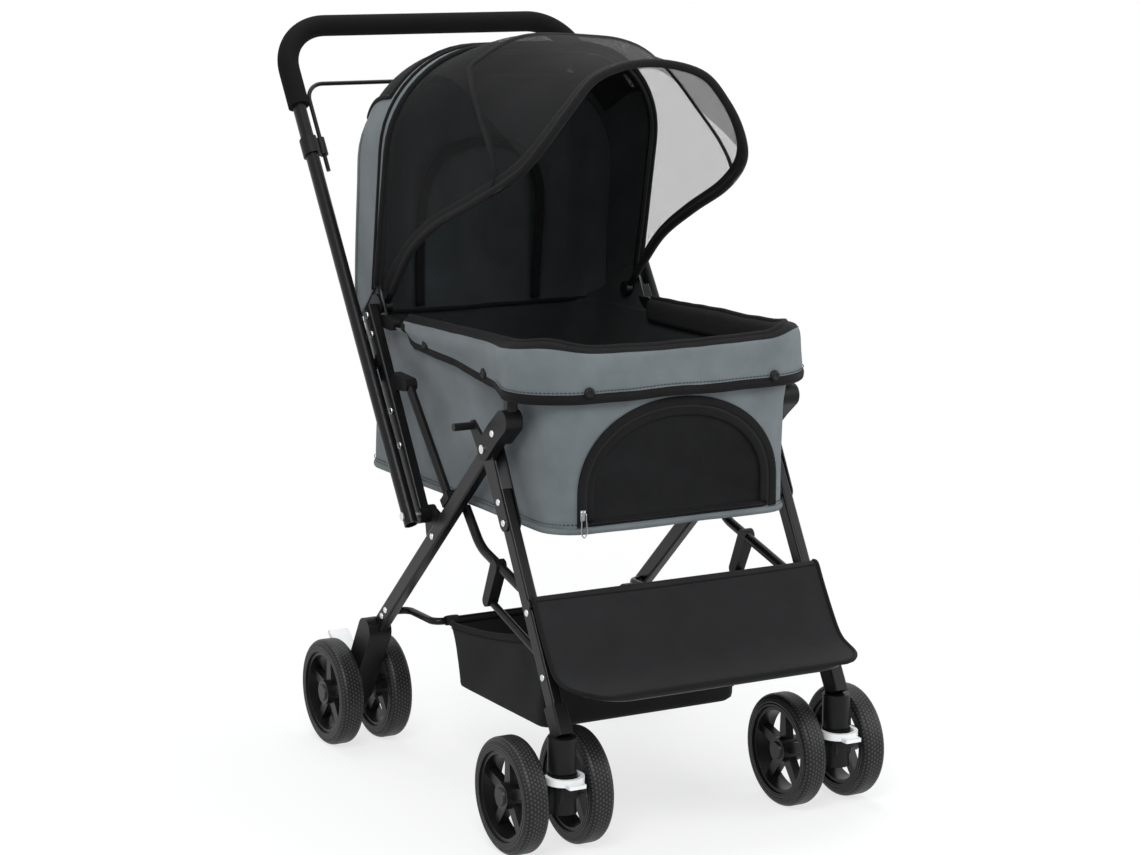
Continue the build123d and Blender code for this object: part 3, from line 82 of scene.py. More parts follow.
CAMERA_PLACE, CAMERA_BACK = (-1.8375, -3.3101, 1.1605), (-0.4771, -0.8593, 0.1845)
LENS_MM, SHIFT_X, SHIFT_Y = 89.27, 0.004, 0.0123
LIGHT_TARGET = (0, 0, 0.5)
FLOOR_REACH = 30.0


# Camera, light and floor
def make_camera():
    back = Vector(CAMERA_BACK).normalized()
    camera = bpy.data.objects.new("camera", bpy.data.cameras.new("camera"))
    camera.location = CAMERA_PLACE
    camera.rotation_mode = "QUATERNION"
    camera.rotation_quaternion = (-back).to_track_quat("-Z", "Y")
    camera.data.sensor_width = 36
    camera.data.lens = LENS_MM
    camera.data.shift_x = SHIFT_X
    camera.data.shift_y = SHIFT_Y
    scene.collection.objects.link(camera)
    scene.camera = camera


def make_light(name, place, size, watts):
    lamp = bpy.data.objects.new(name, bpy.data.lights.new(name, "AREA"))
    lamp.data.shape = "DISK"
    lamp.data.size = size
    lamp.data.energy = watts
    lamp.location = place
    aim = Vector(LIGHT_TARGET) - Vector(place)
    lamp.rotation_mode = "QUATERNION"
    lamp.rotation_quaternion = aim.to_track_quat("-Z", "Y")
    scene.collection.objects.link(lamp)


def seen_directly(tree):
    """1 for rays from the camera, a mirror or glass, and 0 for the light that falls on things."""
    path = tree.nodes.new("ShaderNodeLightPath")
    found = path.outputs["Is Camera Ray"]
    for ray in ("Is Transmission Ray", "Is Glossy Ray"):
        most = tree.nodes.new("ShaderNodeMath")
        most.operation = "MAXIMUM"
        tree.links.new(found, most.inputs[0])
        tree.links.new(path.outputs[ray], most.inputs[1])
        found = most.outputs[0]
    return found


def finish_mix(tree, output, factor, first, second):
    """Mixes two shaders by a factor and sends the result to the output node."""
    mix = tree.nodes.new("ShaderNodeMixShader")
    out = tree.nodes.new(output)
    for number, source in enumerate((factor, first, second)):
        tree.links.new(source, mix.inputs[number])
    tree.links.new(mix.outputs[0], out.inputs[0])


def make_world():
    world = bpy.data.worlds.new("studio")
    scene.world = world
    world.use_nodes = True
    tree = world.node_tree
    tree.nodes.clear()
    soft = tree.nodes.new("ShaderNodeBackground")
    soft.inputs["Color"].default_value = (0.93, 0.96, 1.0, 1)
    soft.inputs["Strength"].default_value = 0.55
    white = tree.nodes.new("ShaderNodeBackground")
    white.inputs["Color"].default_value = (1, 1, 1, 1)
    white.inputs["Strength"].default_value = 1.0
    finish_mix(tree, "ShaderNodeOutputWorld", seen_directly(tree), soft.outputs[0], white.outputs[0])


def make_floor():
    """Pale floor that keeps the shadow and fades to white away from the object."""
    mesh = bpy.data.meshes.new("floor")
    corners = [(-1, -1), (1, -1), (1, 1), (-1, 1)]
    mesh.from_pydata([(x * FLOOR_REACH, y * FLOOR_REACH, 0) for x, y in corners], [], [(0, 1, 2, 3)])
    floor = bpy.data.objects.new("floor", mesh)
    scene.collection.objects.link(floor)
    material = bpy.data.materials.new("floor")
    material.use_nodes = True
    tree = material.node_tree
    tree.nodes.clear()
    place = tree.nodes.new("ShaderNodeTexCoord")
    length = tree.nodes.new("ShaderNodeVectorMath")
    length.operation = "LENGTH"
    tree.links.new(place.outputs["Object"], length.inputs[0])
    fade = tree.nodes.new("ShaderNodeMapRange")
    fade.inputs["From Min"].default_value = 0.55
    fade.inputs["From Max"].default_value = 1.5
    fade.inputs["To Min"].default_value = 0.72
    tree.links.new(length.outputs["Value"], fade.inputs["Value"])
    amount = tree.nodes.new("ShaderNodeMath")
    amount.operation = "MULTIPLY"
    tree.links.new(fade.outputs[0], amount.inputs[0])
    tree.links.new(seen_directly(tree), amount.inputs[1])
    pale = tree.nodes.new("ShaderNodeBsdfDiffuse")
    pale.inputs["Color"].default_value = (0.86, 0.86, 0.86, 1)
    glow = tree.nodes.new("ShaderNodeEmission")
    finish_mix(tree, "ShaderNodeOutputMaterial", amount.outputs[0], pale.outputs[0], glow.outputs[0])
    mesh.materials.append(material)


# Materials
class Finish:
    """A material under construction, with short calls for its nodes."""

    def __init__(self, name, colour, roughness, metallic=0.0, specular=0.5, sheen=0.0, coat=0.0):
        self.material = bpy.data.materials.new(name)
        self.material.use_nodes = True
        self.tree = self.material.node_tree
        self.shader = self.tree.nodes["Principled BSDF"]
        self.colour = (*colour, 1)
        values = {"Base Color": self.colour, "Roughness": roughness, "Metallic": metallic,
                  "Specular IOR Level": specular, "Sheen Weight": sheen, "Coat Weight": coat}
        for socket, value in values.items():
            self.set(socket, value)

    def set(self, socket, value):
        self.shader.inputs[socket].default_value = value

    def node(self, kind, **inputs):
        made = self.tree.nodes.new(kind)
        for socket, value in inputs.items():
            made.inputs[socket.replace("_", " ")].default_value = value
        return made

    def link(self, source, target):
        self.tree.links.new(source, target)

    def math(self, operation, first, second=None):
        made = self.tree.nodes.new("ShaderNodeMath")
        made.operation = operation
        for number, value in enumerate((first, second)):
            if value is None:
                continue
            if isinstance(value, (int, float)):
                made.inputs[number].default_value = value
            else:
                self.link(value, made.inputs[number])
        return made.outputs[0]

    def distance(self, x, y):
        return self.math("SQRT", self.math("ADD", self.math("MULTIPLY", x, x), self.math("MULTIPLY", y, y)))

    def place(self, kind="Object"):
        return self.node("ShaderNodeTexCoord").outputs[kind]

    def noise(self, where, scale, detail=3.0):
        grain = self.node("ShaderNodeTexNoise", Scale=scale, Detail=detail)
        self.link(where, grain.inputs["Vector"])
        return grain.outputs["Fac"]

    def vary(self, factor, low, high):
        """Lets the colour drift between two shades of itself."""
        ramp = self.node("ShaderNodeValToRGB")
        ramp.color_ramp.elements[0].position = 0.3
        ramp.color_ramp.elements[1].position = 0.7
        ramp.color_ramp.elements[0].color = [c * low for c in self.colour[:3]] + [1]
        ramp.color_ramp.elements[1].color = [c * high for c in self.colour[:3]] + [1]
        self.link(factor, ramp.inputs[0])
        self.link(ramp.outputs[0], self.shader.inputs["Base Color"])

    def roughen(self, factor, low, high):
        spread = self.node("ShaderNodeMapRange", To_Min=low, To_Max=high)
        self.link(factor, spread.inputs["Value"])
        self.link(spread.outputs[0], self.shader.inputs["Roughness"])

    def bump(self, height, distance, strength=1.0):
        raised = self.node("ShaderNodeBump", Strength=strength, Distance=distance)
        self.link(height, raised.inputs["Height"])
        earlier = self.shader.inputs["Normal"].links
        if earlier:
            self.link(earlier[0].from_socket, raised.inputs["Normal"])
        self.link(raised.outputs[0], self.shader.inputs["Normal"])


def hard_finish(name, colour, roughness, grain, depth, metallic=0.0, specular=0.5, coat=0.0):
    """Coated, moulded or plated surface with a fine grain and slight handling marks."""
    made = Finish(name, colour, roughness, metallic, specular, coat=coat)
    where = made.place()
    marks = made.noise(where, 14.0)
    made.vary(marks, 0.85, 1.15)
    made.roughen(marks, roughness - 0.06, roughness + 0.08)
    made.bump(made.noise(where, grain, 2.0), depth)
    return made.material


def threads(made, pitch):
    """Height of a plain weave over the cloth's own surface."""
    split = made.node("ShaderNodeSeparateXYZ")
    made.link(made.place("UV"), split.inputs[0])
    turns = 2 * pi / pitch
    across = made.math("SINE", made.math("MULTIPLY", split.outputs["X"], turns))
    along = made.math("SINE", made.math("MULTIPLY", split.outputs["Y"], turns))
    return made.math("MULTIPLY_ADD", made.math("MULTIPLY", across, along), 0.5)


def cloth_finish(name, colour, roughness, pitch, depth, sheen, specular):
    """Woven cloth: thread relief, soft mottling and a light sheen."""
    made = Finish(name, colour, roughness, specular=specular, sheen=sheen)
    made.set("Sheen Roughness", 0.5)
    where = made.place()
    made.vary(made.noise(where, 22.0, 4.0), 0.88, 1.12)
    made.bump(threads(made, pitch), depth)
    made.bump(made.noise(where, 55.0, 3.0), 0.0012, 0.5)
    return made.material


def mesh_finish(name, pitch, opening):
    """Knitted mesh with square holes that light passes through."""
    made = Finish(name, (0.0075, 0.0075, 0.0080), 0.75, specular=0.10, sheen=0.02)
    split = made.node("ShaderNodeSeparateXYZ")
    made.link(made.place("UV"), split.inputs[0])
    edges = []
    for axis in ("X", "Y"):
        step = made.math("FRACT", made.math("DIVIDE", split.outputs[axis], pitch))
        edges.append(made.math("ABSOLUTE", made.math("SUBTRACT", step, 0.5)))
    widest = made.math("MAXIMUM", edges[0], edges[1])
    made.link(made.math("GREATER_THAN", widest, opening / 2), made.shader.inputs["Alpha"])
    made.vary(made.noise(made.place(), 30.0), 0.85, 1.15)
    made.bump(widest, 0.0004)
    return made.material


TYRE_RADIUS, CROWN_RADIUS, SHOULDER_RADIUS = 0.075, 0.0700, 0.0665
DOT_ROW, DOT_STEP, DOT_RADIUS = 0.0044, 0.0056, 0.30
RIB_COUNT, RING_STEP = 170.0, 0.004


def tyre_finish(name, centre):
    """Black tyre with a dotted tread whose dots carry a painted glint as lighter colour, ribbed shoulders
    and fine rings on each side wall.
    """
    made = Finish(name, (0.0068, 0.0068, 0.0072), 0.46, specular=0.26)
    shifted = made.node("ShaderNodeVectorMath")
    shifted.operation = "SUBTRACT"
    made.link(made.place(), shifted.inputs[0])
    shifted.inputs[1].default_value = centre
    split = made.node("ShaderNodeSeparateXYZ")
    made.link(shifted.outputs[0], split.inputs[0])
    x, y, z = (split.outputs[axis] for axis in "XYZ")
    turn = made.math("ARCTAN2", z, y)
    radius = made.distance(y, z)
    row = made.math("DIVIDE", x, DOT_ROW)
    offset = made.math("MULTIPLY", made.math("FLOOR", row), 0.5)
    column = made.math("ADD", made.math("MULTIPLY", turn, TYRE_RADIUS / DOT_STEP), offset)
    dx = made.math("SUBTRACT", made.math("FRACT", row), 0.5)
    dy = made.math("SUBTRACT", made.math("FRACT", column), 0.5)
    near = made.distance(dx, dy)
    crown = made.math("GREATER_THAN", radius, CROWN_RADIUS)
    dots_relief_and_glint = made.math("MULTIPLY", made.math("LESS_THAN", near, DOT_RADIUS), crown)
    made.bump(dots_relief_and_glint, 0.0012)
    ribs = made.math("SINE", made.math("MULTIPLY", turn, RIB_COUNT))
    past_wall = made.math("GREATER_THAN", radius, SHOULDER_RADIUS)
    shoulder = made.math("MULTIPLY", past_wall, made.math("SUBTRACT", 1.0, crown))
    made.bump(made.math("MULTIPLY", ribs, shoulder), 0.0007)
    rings = made.math("SINE", made.math("MULTIPLY", radius, 2 * pi / RING_STEP))
    made.bump(made.math("MULTIPLY", rings, made.math("LESS_THAN", radius, SHOULDER_RADIUS)), 0.0004)
    wear = made.math("MULTIPLY", made.noise(made.place(), 40.0), 0.5)
    # The dots are several times lighter than the tread: a painted glint, over a random tone.
    made.vary(made.math("ADD", wear, made.math("MULTIPLY", dots_relief_and_glint, 0.5)), 0.85, 5.5)
    return made.material


FRAME_BLACK = hard_finish("frame_black", (0.0050, 0.0050, 0.0055), 0.30, 900.0, 0.00006, specular=0.19)
STEEL = hard_finish("steel", (0.70, 0.71, 0.72), 0.30, 700.0, 0.00005, metallic=1.0)
PLASTIC = hard_finish("plastic_black", (0.0058, 0.0058, 0.0062), 0.42, 650.0, 0.00010, specular=0.17)
ZIP_METAL = hard_finish("zip_metal", (0.30, 0.31, 0.32), 0.34, 700.0, 0.00005, metallic=1.0)
RIM_BLACK = hard_finish("rim_black", (0.0070, 0.0070, 0.0074), 0.36, 500.0, 0.00008, specular=0.28)
WHITE = hard_finish("plastic_white", (0.80, 0.81, 0.81), 0.34, 500.0, 0.00005, coat=0.15)
FOAM = hard_finish("foam", (0.0052, 0.0052, 0.0056), 0.85, 850.0, 0.00035, specular=0.08)
GREY = cloth_finish("cloth_grey", (0.119, 0.138, 0.145), 0.80, 0.0011, 0.00022, 0.10, 0.3)
# Dark grey for the inner faces of the cabin, the canopy's rear half and the cheeks: painted shade of the
# grey cloth. The same material also colours the dark stitch thread.
PAINTED_SHADE_LINING_AND_THREAD = cloth_finish("cloth_painted_shade_lining_and_thread", (0.022, 0.025, 0.026), 0.85, 0.0011, 0.00022, 0.02, 0.1)
# Darker grey for the inner face of the canopy's rear wall: painted shade of the grey cloth.
PAINTED_SHADE_INNER_GREY = cloth_finish("cloth_inner_painted_shade", (0.029, 0.034, 0.036), 0.85, 0.0011, 0.00022, 0.04, 0.15)
BOARD = cloth_finish("board_cover", (0.020, 0.022, 0.024), 0.85, 0.0014, 0.0003, 0.02, 0.1)
BLACK = cloth_finish("cloth_black", (0.0130, 0.0130, 0.0138), 0.74, 0.0011, 0.00025, 0.02, 0.12)
BINDING = cloth_finish("binding_black", (0.0060, 0.0060, 0.0065), 0.70, 0.0016, 0.0003, 0.02, 0.10)
NET = mesh_finish("mesh_black", 0.0012, 0.72)
TOP_NET = mesh_finish("visor_top_mesh", 0.0012, 0.48)
WINDOW_NET = mesh_finish("window_mesh", 0.0016, 0.26)
DOOR_NET = mesh_finish("door_mesh", 0.0014, 0.50)


# Mesh helpers
def smooth_line(points, steps):
    """Points along a soft curve through the given ones."""
    ends = [points[0] * 2 - points[1]] + list(points) + [points[-1] * 2 - points[-2]]
    line = []
    for a, b, c, d in zip(ends, ends[1:], ends[2:], ends[3:]):
        for number in range(steps):
            t = number / steps
            line.append(0.5 * ((2 * b) + (c - a) * t + (2 * a - 5 * b + 4 * c - d) * t * t
                               + (3 * b - a - 3 * c + d) * t ** 3))
    return line + [points[-1]]


def new_piece(name, vertices, faces, uvs, materials):
    """A smooth-shaded object with one UV for each vertex."""
    mesh = bpy.data.meshes.new(name)
    mesh.from_pydata([tuple(v) for v in vertices], [], faces)
    layer = mesh.uv_layers.new(name="UVMap")
    for loop in mesh.loops:
        layer.data[loop.index].uv = uvs[loop.vertex_index]
    for material in materials:
        mesh.materials.append(material)
    for face in mesh.polygons:
        face.use_smooth = True
    piece = bpy.data.objects.new(name, mesh)
    scene.collection.objects.link(piece)
    return piece


def run_lengths(points):
    """Distance along a row of points, at each point."""
    total, found = 0.0, [0.0]
    for a, b in zip(points, points[1:]):
        total += (b - a).length
        found.append(total)
    return found


def even_line(points, count):
    """The same line with evenly spaced points."""
    length = run_lengths(points)
    found, place = [], 0
    for k in range(count):
        goal = length[-1] * k / (count - 1)
        while place < len(points) - 2 and length[place + 1] < goal:
            place += 1
        run = length[place + 1] - length[place]
        found.append(points[place].lerp(points[place + 1], (goal - length[place]) / run if run else 0.0))
    return found


def ring_faces(first, rings, sides, closed=False):
    """Quads between neighbouring rings of points, the first point of which is numbered first."""
    faces = []
    for i in range(rings if closed else rings - 1):
        here, there = first + i * sides, first + (i + 1) % rings * sides
        for k in range(sides):
            after = (k + 1) % sides
            faces.append((here + k, here + after, there + after, there + k))
    return faces


def sheet_piece(name, rows, materials, thickness, choose=None, keep=None, lined=False):
    """Cloth from rows of points. choose picks a face's material, keep says by its middle if it exists.

    A lined cloth has each second material on the back of the one before it.
    """
    count = len(rows[0])
    vertices = [point for row in rows for point in row]
    along = [run_lengths(row) for row in rows]
    down = list(zip(*[run_lengths(column) for column in zip(*rows)]))
    uvs = [(along[i][j], down[i][j]) for i in range(len(rows)) for j in range(count)]
    faces, picks = [], []
    for i in range(len(rows) - 1):
        for j in range(count - 1):
            corner = i * count + j
            face = (corner, corner + 1, corner + count + 1, corner + count)
            middle = sum((vertices[k] for k in face), Vector()) / 4
            if keep and not keep(middle):
                continue
            faces.append(face)
            picks.append(choose(i, j) if choose else 0)
    piece = new_piece(name, vertices, faces, uvs, materials)
    for polygon, pick in zip(piece.data.polygons, picks):
        polygon.material_index = pick
    if (rows[-1][0] - rows[-1][-1]).length < 1e-6:
        piece.modifiers.new("join", "WELD").merge_threshold = 1e-5
    soften = piece.modifiers.new("soft", "SUBSURF")
    soften.levels = soften.render_levels = 1
    if thickness:
        body = piece.modifiers.new("thickness", "SOLIDIFY")
        body.thickness = thickness
        body.offset = 0.0
        body.material_offset = 1 if lined else 0
    return piece


def dress(piece, body):
    """Says which body a piece rides on."""
    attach(piece, body)


def tube_piece(name, points, radius, material, flat=1.0, closed=False, side_way=None):
    """Cord, binding or wire along a line. flat squeezes its section across side_way."""
    count, sides = len(points), TUBE_SIDES
    vertices, uvs = [], []
    length = run_lengths(points)
    normal = None
    for number, point in enumerate(points):
        before = points[number - 1] if number or closed else point
        after = points[(number + 1) % count] if number < count - 1 or closed else point
        way = (after - before).normalized()
        if side_way is not None:
            normal = side_way(point) if callable(side_way) else side_way
        if normal is None:
            normal = way.orthogonal().normalized()
        else:
            normal = (normal - way * normal.dot(way)).normalized()
        other = way.cross(normal)
        for k in range(sides):
            turn = 2 * pi * k / sides
            vertices.append(point + normal * (cos(turn) * radius * flat)
                            + other * (sin(turn) * radius))
            uvs.append((radius * turn, length[number]))
    faces = ring_faces(0, count, sides, closed)
    if not closed:
        faces.append(tuple(reversed(range(sides))))
        faces.append(tuple(range((count - 1) * sides, count * sides)))
    return new_piece(name, vertices, faces, uvs, [material])


def stitch_piece(name, points, body, material):
    """A row of separate thread stitches along a line."""
    spots = even_line(points, max(3, int(run_lengths(points)[-1] / STITCH_STEP)))
    vertices, uvs, faces = [], [], []
    for a, b in zip(spots, spots[1:]):
        way = b - a
        side = way.orthogonal().normalized() * STITCH_RADIUS
        other = way.normalized().cross(side)
        first = len(vertices)
        for share, size in ((0.08, 0.45), (0.22, 1.0), (0.58, 1.0), (0.72, 0.45)):
            for k in range(6):
                turn = pi * k / 3
                vertices.append(a + way * share + (side * cos(turn) + other * sin(turn)) * size)
                uvs.append((STITCH_RADIUS * turn, share * STITCH_STEP))
        faces += ring_faces(first, 4, 6)
        faces.append(tuple(range(first + 5, first - 1, -1)))
        faces.append(tuple(range(first + 18, first + 24)))
    piece = new_piece(name, vertices, faces, uvs, [material])
    if body:
        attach(piece, body)
    return piece


def stud_piece(name, place, outward, radius, height, material):
    """Domed press stud that stands on a surface."""
    outward = outward.normalized()
    side = outward.orthogonal().normalized()
    other = outward.cross(side)
    profile = [(1.0, 0.0), (1.0, 0.45), (0.86, 0.75), (0.5, 0.95), (0.42, 0.86), (0.0, 0.86)]
    sides = 20
    vertices, uvs = [], []
    for share, rise in profile:
        for k in range(sides):
            turn = 2 * pi * k / sides
            flatwise = side * cos(turn) + other * sin(turn)
            vertices.append(place + flatwise * (radius * share) + outward * (height * rise))
            uvs.append((radius * share * cos(turn), radius * share * sin(turn)))
    return new_piece(name, vertices, ring_faces(0, len(profile), sides), uvs, [material])


def ripple(point, scale, seed):
    return noise.noise(Vector(point) * scale + Vector((seed, 2 * seed, 3 * seed)))


def ease(value):
    value = min(1.0, max(0.0, value))
    return value * value * (3 - 2 * value)


def lerp(low, high, share):
    return low + (high - low) * share


# Cabin
def rounded_ring(half, front, rear, corner, z, side_steps=34, front_steps=40, corner_steps=8):
    """Closed ring of a rounded rectangle, from the middle of the rear wall round by the left."""
    def run(a, b, steps):
        return [Vector((lerp(a[0], b[0], k / steps), lerp(a[1], b[1], k / steps), z))
                for k in range(steps)]

    def bend(x, y, start):
        turns = [radians(start - 90 * k / corner_steps) for k in range(corner_steps)]
        return [Vector((x + corner * cos(turn), y + corner * sin(turn), z)) for turn in turns]

    flat_x, flat_front, flat_rear = half - corner, front + corner, rear - corner
    ring = run((0, rear), (flat_x, rear), front_steps // 2) + bend(flat_x, flat_rear, 90)
    ring += run((half, flat_rear), (half, flat_front), side_steps) + bend(flat_x, flat_front, 0)
    ring += run((flat_x, front), (-flat_x, front), front_steps) + bend(-flat_x, flat_front, -90)
    ring += run((-half, flat_front), (-half, flat_rear), side_steps) + bend(-flat_x, flat_rear, 180)
    ring += run((-flat_x, rear), (0, rear), front_steps // 2)
    return ring + [Vector((0, rear, z))]


def cabin_half(z):
    if z < CABIN_WAIST:
        return lerp(0.176, 0.177, ease((z - CABIN_LOW) / (CABIN_WAIST - CABIN_LOW)))
    return lerp(0.177, 0.192, (z - CABIN_WAIST) / (CABIN_TOP - CABIN_WAIST))


def door_half(z, inset=0.0):
    """Half width of the D-shaped door at a height."""
    half, top = DOOR_HALF - inset, DOOR_TOP - inset
    if z <= DOOR_SHOULDER:
        return half
    climb = (z - DOOR_SHOULDER) / (top - DOOR_SHOULDER)
    return half * max(0.0, 1 - climb ** DOOR_ROUND) ** (1 / DOOR_ROUND)


def in_door(point):
    at_front = point.y < CABIN_FRONT + 0.02
    return at_front and DOOR_LOW < point.z < DOOR_TOP and abs(point.x) < door_half(point.z)


def door_line(inset, steps=48):
    """The door's edge over its arch, from the foot at -X to the foot at +X."""
    half, top = DOOR_HALF - inset, DOOR_TOP - inset
    rise, power = top - DOOR_SHOULDER, 2 / DOOR_ROUND
    turns = [pi * k / steps for k in range(steps + 1)]
    over = [(-copysign(half * abs(cos(turn)) ** power, cos(turn)),
             DOOR_SHOULDER + rise * sin(turn) ** power) for turn in turns]
    foot = DOOR_LOW + max(0.0, inset)
    rising = [(-half, lerp(foot, DOOR_SHOULDER, k / 6)) for k in range(6)]
    falling = [(half, lerp(DOOR_SHOULDER, foot, k / 6)) for k in range(1, 7)]
    return rising + over + falling


def make_cabin():
    """Soft tub with a stitched hem, a hole for the door and slack between its seams."""
    heights = [lerp(CABIN_LOW, CABIN_TOP, k / 24) for k in range(25)]
    rows = []
    for share in (0.02, 0.35, 0.7, 0.93):
        ring = rounded_ring(0.176, CABIN_FRONT, CABIN_REAR, 0.046, CABIN_LOW)
        middle = Vector((0, (CABIN_FRONT + CABIN_REAR) / 2, CABIN_LOW))
        dip = Vector((0, 0, 0.002 * (1 - share)))
        rows.append([middle + (point - middle) * share - dip for point in ring])
    for z in heights:
        ring = rounded_ring(cabin_half(z), CABIN_FRONT, CABIN_REAR, 0.046, z)
        share = (z - CABIN_LOW) / (CABIN_TOP - CABIN_LOW)
        slack = sin(pi * share)
        row = []
        for number, point in enumerate(ring):
            before, after = ring[number - 1], ring[(number + 1) % (len(ring) - 1)]
            along = (after - before).normalized() if number else Vector((1, 0, 0))
            outward = Vector((-along.y, along.x, 0))
            fine = ripple((point.x * 26, point.y * 26, z * 9), 1.0, 7.7)
            depth = 0.0030 * ripple(point, 9.0, 3.1) + 0.0016 * fine
            if point.y > -0.2:
                depth += 0.0022 * sin(point.y * 58 + z * 34) * ease((point.y + 0.2) / 0.15)
            row.append(point + outward * (depth * slack - 0.0015 * slack))
        rows.append(row)
    edge = [Vector((x, 0, z)) for x, z in door_line(0.0, 160)]
    for row in rows:
        for point in row:
            if point.y > CABIN_FRONT + 0.02 or abs(point.x) > DOOR_HALF + 0.02:
                continue
            close = min(edge, key=lambda spot: (spot.x - point.x) ** 2 + (spot.z - point.z) ** 2)
            gap = hypot(close.x - point.x, close.z - point.z)
            if gap < 0.0052:
                point.x, point.z = close.x, close.z
            point.y = lerp(CABIN_FRONT + 0.001, point.y, ease(gap / 0.03))
    # The cabin wall's inner faces take the dark lining, which is painted shade of the grey cloth.
    cabin = sheet_piece("cabin_cloth", rows, [PAINTED_SHADE_LINING_AND_THREAD, GREY], keep=lambda middle: not in_door(middle),
                        thickness=0.0025, lined=True)
    dress(cabin, "chassis")
    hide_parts("cabin_tub")
    hem = rounded_ring(0.1777, CABIN_FRONT - 0.0017, CABIN_REAR + 0.0012, 0.047, CABIN_LOW + 0.004)[:-1]
    for point in hem:
        point.z += 0.0012 * ripple(point, 14.0, 1.3)
    above = Vector((0, 0, STITCH_RISE))
    thread = [point + Vector((point.x, point.y, 0)).normalized() * 0.0014 + above for point in hem + hem[:1]]
    stitch_piece("cabin_stitch", thread, "chassis", PAINTED_SHADE_LINING_AND_THREAD)
    roll = tube_piece("cabin_hem", hem, 0.0042, GREY, flat=0.5, closed=True,
                      side_way=lambda spot: Vector((spot.x, spot.y, 0)))
    dress(roll, "chassis")


def flat_band(name, line, y, width, material, body):
    """Tape that lies on the front wall along a line of (x, z) points."""
    points = [Vector((x, y, z)) for x, z in line]
    tape = tube_piece(name, points, width / 2, material, flat=0.18, side_way=FORWARD)
    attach(tape, body)
    return tape


def make_door():
    """Mesh flap in the front wall with a zip round its arch."""
    rows = []
    for k in range(23):
        z = lerp(DOOR_LOW + 0.002, DOOR_TOP - 0.008, k / 22)
        half = max(0.004, door_half(z, 0.005))
        row = []
        for c in range(33):
            x = half * (2 * c / 32 - 1)
            belly = 0.0026 * (1 - (x / DOOR_HALF) ** 2) * sin(pi * (k + 1) / 24)
            row.append(Vector((x, CABIN_FRONT + 0.0016 - belly + 0.0006 * ripple((x, 0, z), 30.0, 5.0), z)))
        rows.append(row)
    door = sheet_piece("door_net", rows, [DOOR_NET], thickness=0.0)
    dress(door, "door")
    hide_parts("front_door")
    flat_band("door_tape_inner", door_line(0.0072), CABIN_FRONT - 0.0012, 0.011, BINDING, "door")
    flat_band("door_tape_outer", door_line(-0.0062), CABIN_FRONT - 0.0014, 0.012, BINDING, "chassis")
    teeth = flat_band("door_zip", door_line(0.0008), CABIN_FRONT - 0.0014, 0.0036, PLASTIC, "chassis")
    foot_half = DOOR_HALF - 0.008
    low = [(lerp(-foot_half, foot_half, k / 12), DOOR_LOW + 0.004) for k in range(13)]
    flat_band("door_foot", low, CABIN_FRONT - 0.0004, 0.007, BINDING, "door")
    make_zip_pull("door_pull", Vector((-DOOR_HALF - 0.0045, CABIN_FRONT - 0.005, DOOR_LOW + 0.014)))


def make_zip_pull(name, place):
    """Metal slider with a long wire loop that hangs from it."""
    half = [(0.0032, 0, 0.004), (0.0036, -0.001, -0.010), (0.0042, -0.0015, -0.020)]
    outline = half + [(0.0, -0.0015, -0.0265)] + [(-x, y, z) for x, y, z in reversed(half)]
    loop = smooth_line([Vector(spot) for spot in outline], 5)
    wire = tube_piece(name + "_loop", [place + point for point in loop], 0.0008, ZIP_METAL)
    block = [place + Vector((0, 0.002, 0)) + Vector((0, 0, z)) for z in (0.008, 0.004, -0.004, -0.006)]
    slider = tube_piece(name + "_slider", block, 0.0042, ZIP_METAL, flat=0.5, side_way=FORWARD)
    for piece in (wire, slider):
        dress(piece, "chassis")


def rim_line():
    """Centre line of the rim from its left rear end round the front to its right rear end."""
    start, flat_y, flat_x = 0.088, RIM_FRONT + RIM_BEND, RIM_HALF - RIM_BEND
    turns = [pi / 2 * k / 14 for k in range(14)]
    line = [Vector((RIM_HALF, lerp(start, flat_y, k / 34), RIM_Z)) for k in range(34)]
    line += [Vector((flat_x + RIM_BEND * cos(turn), flat_y - RIM_BEND * sin(turn), RIM_Z))
             for turn in turns]
    line += [Vector((lerp(flat_x, -flat_x, k / 28), RIM_FRONT, RIM_Z)) for k in range(28)]
    line += [Vector((-flat_x - RIM_BEND * sin(turn), flat_y - RIM_BEND * cos(turn), RIM_Z))
             for turn in turns]
    line += [Vector((-RIM_HALF, lerp(flat_y, start, k / 34), RIM_Z)) for k in range(35)]
    return line


def outward_of(line, number):
    before, after = line[max(0, number - 1)], line[min(len(line) - 1, number + 1)]
    along = (after - before).normalized()
    return Vector((-along.y, along.x, 0))


def band_drop(point):
    """How far the folded-over band hangs below the rim, narrow at its rear ends and deep at the front."""
    share = ease((0.088 - point.y) / 0.36)
    return lerp(0.024, 0.046, share) * ease((0.0885 - point.y) / 0.03 + 0.45)


